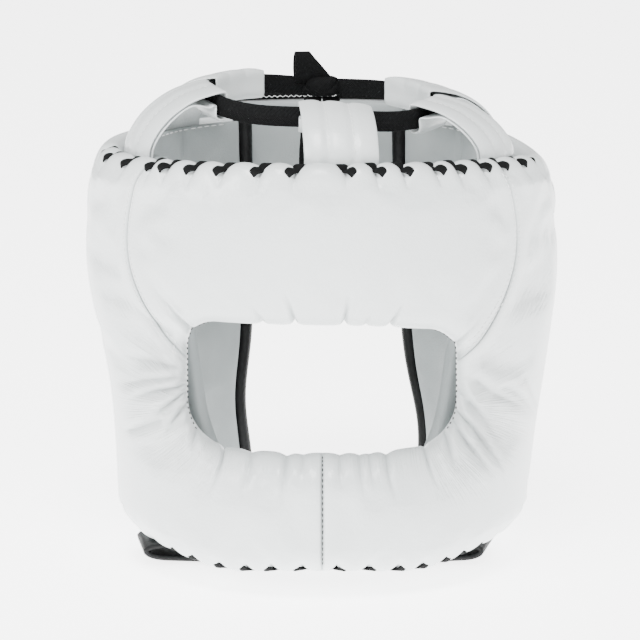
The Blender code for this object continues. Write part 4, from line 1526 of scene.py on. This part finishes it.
def makeBackStrip():
    # a soft strip of mesh cloth along the panel's inner top edge, between the wings
    path = []
    thick = []
    reach = backPanel["stripReach"]
    for share in np.linspace(-reach, reach, backPanel["stripSteps"]):
        turn, drop = backPlace(share, backPanel["stripDown"])
        place = wallPoint(turn, drop, backPanel["stripInset"])
        path.append(place)
        thick.append(Vector((place.x, place.y, 0)).normalized())
    wide = [Vector((0, 0, 1))] * len(path)
    profile = roundProfile(backPanel["stripHeight"], backPanel["stripThickness"])
    made = addBand("backStrip", path, wide, thick, profile, finishes["grey_lining"])
    keep(made, "grey_lining")


makeBackPanel()
makeBackBinding()
makeBackStitches()
makeBackStrip()
print("back made")


# Crown loops: straps folded over the lace, held between pad and lining at the rim

loops = {
    "leather": 0.0014,
    "eyeClearance": 0.0011,
    "eyeReach": 0.0075,
    "seatDepth": 0.0030,
    "seatInset": 0.0004,
    "columns": 36,
    "rows": 90,
    "straight": 0.28,           # 0 for a round arch and 1 for a straight strap
    "puff": 0.0009,             # padding between the lines of stitches
    "lines": (0.32, 0.66),
}

# name, node, degrees round from the front, width, and shift along the lace
crownLoops = (
    ("crownLoopFront", "crown_loop_front", 0.0, 0.0360, 0.0065),
    ("crownLoopLeftFront", "crown_loop_left_front", -75.0, 0.0420, 0.0),
    ("crownLoopLeftRear", "crown_loop_left_rear", -130.0, 0.0374, 0.0),
    ("crownLoopRightFront", "crown_loop_right_front", 66.0, 0.0360, 0.0),
    ("crownLoopRightRear", "crown_loop_right_rear", 127.0, 0.0374, 0.0),
)


def arch(run, climb, a):
    # between a quarter of an ellipse and the straight line under it
    line = loops["straight"] * 2 * a / pi
    share = 1 - loops["straight"]
    return run * (cos(a) * share + loops["straight"] - line), climb * (sin(a) * share + line)


def loopOutline(run, climbFrom):
    # middle line of a folded loop: distance out from the lace, and height
    half = lace["width"] / 2 + loops["eyeClearance"] + loops["leather"] / 2
    room = lace["thickness"] / 2 + loops["eyeClearance"] + loops["leather"] / 2
    apart = loops["leather"] + padding["restGap"]
    climb = half + climbFrom
    rim = (run, -climbFrom - loops["seatDepth"])
    upper = [rim]
    for a in map(radians, (6, 20, 36, 53, 70)):
        out, up = arch(run, climb, a)
        upper.append((out, up - climbFrom))
    eye = [(-room * 0.45, half), (-room, half * 0.72), (-room, 0)]
    eye += [(-room, -half * 0.72), (-room * 0.45, -half)]
    under = [(room * 0.45, -half), (room, -half * 0.72), (room, half * 0.05)]
    meet = min(radians(62), np.arcsin(min(1.0, max(0.5, (climb - apart) / climb))))
    lower = []
    for a in (meet, meet * 0.68, meet * 0.36, radians(6)):
        out, up = arch(run, climb, a)
        lower.append((out - apart * cos(a), up - climbFrom - apart * sin(a)))
    step = (max(room + loops["leather"] * 0.6, min(loops["eyeReach"], lower[0][0]) * 0.75),
            lower[0][1] - apart * 0.6)
    return upper + eye + under + [step] + lower + [(run - apart, rim[1])]


def rimSeat(around):
    # distance out from the middle and height of a loop's seat
    turn = around
    for _ in range(3):
        inset = padThickness(turn, 0.0) - loops["seatInset"]
        wide = halfWidth(0.0) - inset
        turn = np.arctan2(sin(around) / wide, cos(around) / (depth(turn, 0.0) - inset))
    seat = wallPoint(turn, 0.0, padThickness(turn, 0.0) - loops["seatInset"])
    return sqrt(seat.x ** 2 + seat.y ** 2), seat.z


def makeLoop(name, node, degrees, width, shift):
    turn = radians(degrees) + shift / lace["ringRadius"]
    outer = np.zeros((loops["columns"] + 1, loops["rows"], 3))
    inner = np.zeros_like(outer)
    middle = rimSeat(turn)[0]
    for k, share in enumerate(bunched(loops["columns"], 0.4)):
        aside = width * (share - 0.5)
        rimOut, rimZ = rimSeat(turn + aside / middle)
        height = float(ringHeight(turn + aside / lace["ringRadius"]))
        line = smoothLine(loopOutline(rimOut - lace["ringRadius"], height - rimZ), loops["rows"])
        slope = np.gradient(line, axis=0)
        slope /= np.linalg.norm(slope, axis=1)[:, None]
        soft = 1 - 0.55 * abs(2 * share - 1) ** 8
        flat = 1 - max(hill(share - at, 0.055) for at in loops["lines"])
        upper = 1 - rise((np.arange(loops["rows"]) / loops["rows"] - 0.40) / 0.08)
        puff = loops["puff"] * flat * upper * (1 - abs(2 * share - 1) ** 6)
        around = turn + aside / (lace["ringRadius"] + line[:, 0])
        half = soft * loops["leather"] / 2
        for grid, lift in ((outer, half + puff), (inner, -half)):
            far = lace["ringRadius"] + line[:, 0] + slope[:, 1] * lift
            grid[k, :, 0] = far * np.sin(around)
            grid[k, :, 1] = -far * np.cos(around)
            grid[k, :, 2] = line[:, 1] - slope[:, 0] * lift + height
    made = addPad(name, outer, inner, finishes["white_leather"])
    keep(made, "white_leather", node)
    shares = bunched(loops["columns"], 0.4)
    last = int(loops["rows"] * 0.42)
    rows = [int(np.abs(shares - at).argmin()) for at in loops["lines"]]
    return [[Vector(p) for p in outer[row, 6:last]] for row in rows]


loopLines = []
for row in crownLoops:
    loopLines += makeLoop(*row)
print("crown loops made")


# Chin strap: one band from one side pad's lower rim to the other's

chinStrap = {
    "width": 0.032,
    "thickness": 0.003,
    "turn": 69.0,
    "drop": 0.0090,
    "sag": 0.0012,
    "bulge": 0.0865,
    "shift": -0.0037,
    "seat": 0.0035,
    "seatInset": 0.0008,
}

# from the seat out to the bulge: share out, share down
strapRise = ((0.10, 0.10), (0.52, 0.26), (0.86, 0.38))
# from the bulge to the middle: share across, share down, share of the sag
strapFloor = (
    (1.000, 0.58, 0.0),
    (0.975, 0.80, 0.0),
    (0.920, 0.94, 0.0),
    (0.820, 1.00, 0.0),
    (0.450, 1.00, 0.65),
)


def strapHalf(side, seat):
    bottom = head["topRimZ"] - head["faceHeight"]
    bulge = chinStrap["bulge"] + side * chinStrap["shift"]
    half = [(seat.x, seat.z)]
    for out, down in strapRise:
        half.append((seat.x + out * (bulge - seat.x), bottom - down * chinStrap["drop"]))
    for across, down, sag in strapFloor:
        half.append((across * bulge, bottom - down * chinStrap["drop"] - sag * chinStrap["sag"]))
    return half


def makeChinStrap():
    bottom = head["topRimZ"] - head["faceHeight"]
    turn = radians(chinStrap["turn"])
    drop = 1 - chinStrap["seat"] / head["faceHeight"]
    seat = wallPoint(turn, drop, padThickness(turn, drop) + chinStrap["seatInset"])
    left = [(-x, z) for x, z in strapHalf(-1, seat)]
    right = list(reversed(strapHalf(1, seat)))
    line = smoothLine(left + [(0, bottom - chinStrap["drop"] - chinStrap["sag"])] + right, 180)
    path = [Vector((x, seat.y, z)) for x, z in line]
    wide = []
    thick = []
    for k in range(len(path)):
        run = (path[min(k + 1, len(path) - 1)] - path[max(k - 1, 0)]).normalized()
        held = max(0.0, 1 - min(k, len(path) - 1 - k) / 36)
        slant = np.arctan2(head["frontDepth"] * sin(turn), head["halfWidth"] * cos(turn)) - pi / 2
        slant *= held * (1 if path[k].x > 0 else -1)
        across = Vector((cos(pi / 2 + slant), sin(pi / 2 + slant), 0))
        wide.append(across)
        thick.append(run.cross(across).normalized())
    profile = flatProfile(chinStrap["width"], chinStrap["thickness"])
    made = addBand("chinStrap", path, wide, thick, profile, finishes["black_leather"])
    keep(made, "black_leather", "chin_strap")


makeChinStrap()
print("chin strap made")


# Lacing and stitches, laid on the finished pads

def surfaceOf(pieces):
    vertices = []
    faces = []
    for piece in pieces:
        shift = len(vertices)
        vertices += [vertex.co.copy() for vertex in piece.data.vertices]
        faces += [tuple(shift + k for k in face.vertices) for face in piece.data.polygons]
    return BVHTree.FromPolygons(vertices, faces)


padSkin = surfaceOf(padPieces)

whip = {
    "width": 0.0062,
    "thickness": 0.0014,
    "skew": 2.0,                # degrees round, from a hole to the rim's crest
    "over": 118.0,
    "axis": 0.0042,
    "dive": 0.0016,
}


def overRim(turn, side, lacing):
    # one stitch of lace over a rim: where it lies and the way it faces
    rim = lacing["rim"]
    up = Vector((0, 0, 1 if rim < 0.5 else -1))
    spots = []
    ways = []
    for share in np.linspace(0, 1, 13):
        lift = radians(lacing["below"] + (whip["over"] - lacing["below"]) * share)
        at = turn + side * radians(whip["skew"]) * (1 - 2 * share)
        axis = wallPoint(at, rim, padThickness(at, rim) * 0.57)
        axis -= up * (lacing["valley"] + whip["axis"])
        outwards = Vector((axis.x, axis.y, 0)).normalized()
        way = (outwards * cos(lift) + up * sin(lift)).normalized()
        hit = padSkin.ray_cast(axis + way * 0.03, -way)[0]
        if hit is None:
            continue
        sunk = whip["dive"] * (hill(share, 0.09) + hill(1 - share, 0.09))
        spots.append(hit + way * (whip["thickness"] * 0.5 - sunk))
        ways.append(way)
    line = smoothLine([tuple(p) for p in spots], 26)
    ways = smoothLine([tuple(w) for w in ways], 26)
    return line, ways


def makeWhip(name, lacing):
    lines = []
    facing = []
    for word, side in (("left", -1), ("right", 1)):
        for degrees in lacing[word]:
            line, ways = overRim(side * radians(degrees), side, lacing)
            lines.append(line)
            facing.append(ways)
    made = bands.run(name, lines, finishes["black_lace"], facing,
                     Width=whip["width"], Thickness=whip["thickness"])
    keep(made, "black_lace")


makeWhip("topLacing", topLacing)
makeWhip("footLacing", footLacing)
print("whip lacing made")

sewing = {
    "steps": 90,
    "lift": 0.0002,             # thread above the leather
    "browLift": 0.0001,
    "browShares": (0.05, 0.93),
    "barDrops": (0.70, 0.965),
    "barAside": 0.0011,         # where the leather beside the bar's seam is met
    "liningTurns": (60, 148),
    "openingShares": (0.310, 0.640),
    "openingDepth": 0.47,
    "seamOffset": 0.0022,
    "liningDrop": 0.012,
}


def onSkin(skin, places, lift):
    return [spot + way * lift for spot, way in (skin.find_nearest(p)[:2] for p in places)]


def sew(name, finish, slot, lines, **sizes):
    keep(stitches.run(name, lines, finish, **sizes), slot)


def openingLine(side):
    places = []
    for share in np.linspace(*sewing["openingShares"], sewing["steps"]):
        turn, drop = openingPlace(share)
        sag = soften(sags, side * turn, drop) / head["faceHeight"]
        inset = padThickness(turn, drop) * sewing["openingDepth"]
        places.append(wallPoint(side * squareToFace(turn, drop, inset, 1.0), drop + sag, inset))
    return onSkin(padSkin, places, sewing["lift"])


def browSeamLine(side, offset):
    places = []
    for share in np.linspace(*sewing["browShares"], 80):
        turn, drop = seamPlace(share)
        places.append(wallPoint(side * (turn + offset / head["halfWidth"]), drop, 0.0))
    return onSkin(padSkin, places, sewing["browLift"])


def barSeamLine():
    # as high as the leather beside the seam, so that the thread shows in its groove
    places = []
    for drop in np.linspace(*sewing["barDrops"], 60):
        start = wallPoint(0.0, drop, -0.05) + Vector((sewing["barAside"], 0, 0))
        place = padSkin.ray_cast(start, Vector((0, 1, 0)))[0]
        if place is not None:
            places.append(Vector((sewing["lift"], place.y, place.z)))
    return places


def liningLine(word, side):
    skin = surfaceOf([liningPieces[word]])
    places = []
    for turn in np.radians(np.linspace(*sewing["liningTurns"], sewing["steps"])):
        drop = sewing["liningDrop"]
        places.append(wallPoint(side * turn, drop, wallThickness(turn, drop) + 0.001))
    return onSkin(skin, places, sewing["lift"])


sew("openingStitches", darkThread, "black_lace", [openingLine(-1), openingLine(1)],
    Pitch=0.0026, Length=0.0013, Width=0.0007)
sew("barSeamStitches", darkThread, "black_lace", [barSeamLine()],
    Pitch=0.0027, Length=0.0020, Width=0.0006)
sew("browStitches", whiteThread, "white_leather",
    [browSeamLine(side, offset * sewing["seamOffset"]) for side in (-1, 1) for offset in (-1, 1)],
    Pitch=0.0030, Length=0.0021, Width=0.0006)
sew("loopStitches", whiteThread, "white_leather", loopLines, Pitch=0.0030, Length=0.0022, Width=0.0006)
sew("liningStitches", whiteThread, "white_leather", [liningLine("Left", -1), liningLine("Right", 1)],
    Pitch=0.0048, Length=0.0036, Width=0.0007)
print("stitches made")


# Studio: pale floor, soft light

studio = {
    "floorZ": -0.2275,
    "floorSize": 16.0,
    "floorColour": (0.94, 0.94, 0.94),
    "floorGlow": 4.2,
    "world": 0.90,
    # name, place, size, power
    "lamps": (
        ("topLight", (-0.10, -0.75, 1.3), 0.55, 30.0),
        ("leftLight", (-1.4, -1.1, 0.8), 0.6, 28.0),
        ("rightLight", (1.5, -0.6, 0.5), 0.8, 7.0),
        ("frontLight", (-0.35, -2.1, 0.30), 0.35, 7.0),
    ),
}


def makeStudio():
    half = studio["floorSize"] / 2
    corners = [(-half, -half), (half, -half), (half, half), (-half, half)]
    made = Finish("floorPaper", 0.8)
    cloud = made.grain(4.0, made.place(), 2.0)
    made.set("Base Color", made.blend(cloud, (0.92, 0.92, 0.92), studio["floorColour"]))
    made.set("Emission Color", (1, 1, 1, 1))
    made.set("Emission Strength", studio["floorGlow"])
    points = [(x, y, studio["floorZ"]) for x, y in corners]
    floor = addObject("floor", points, [(0, 1, 2, 3)], made.material)
    world = bpy.data.worlds.new("studio")
    world.use_nodes = True
    world.node_tree.nodes["Background"].inputs["Color"].default_value = (1, 1, 1, 1)
    world.node_tree.nodes["Background"].inputs["Strength"].default_value = studio["world"]
    bpy.context.scene.world = world
    for name, place, size, power in studio["lamps"]:
        lamp = bpy.data.objects.new(name, bpy.data.lights.new(name, "AREA"))
        lamp.data.size = size
        lamp.data.energy = power
        lamp.location = place
        lamp.rotation_euler = (Vector((0, 0, -0.1)) - lamp.location).to_track_quat("-Z", "Y").to_euler()
        bpy.context.scene.collection.objects.link(lamp)


makeStudio()
print("studio made")
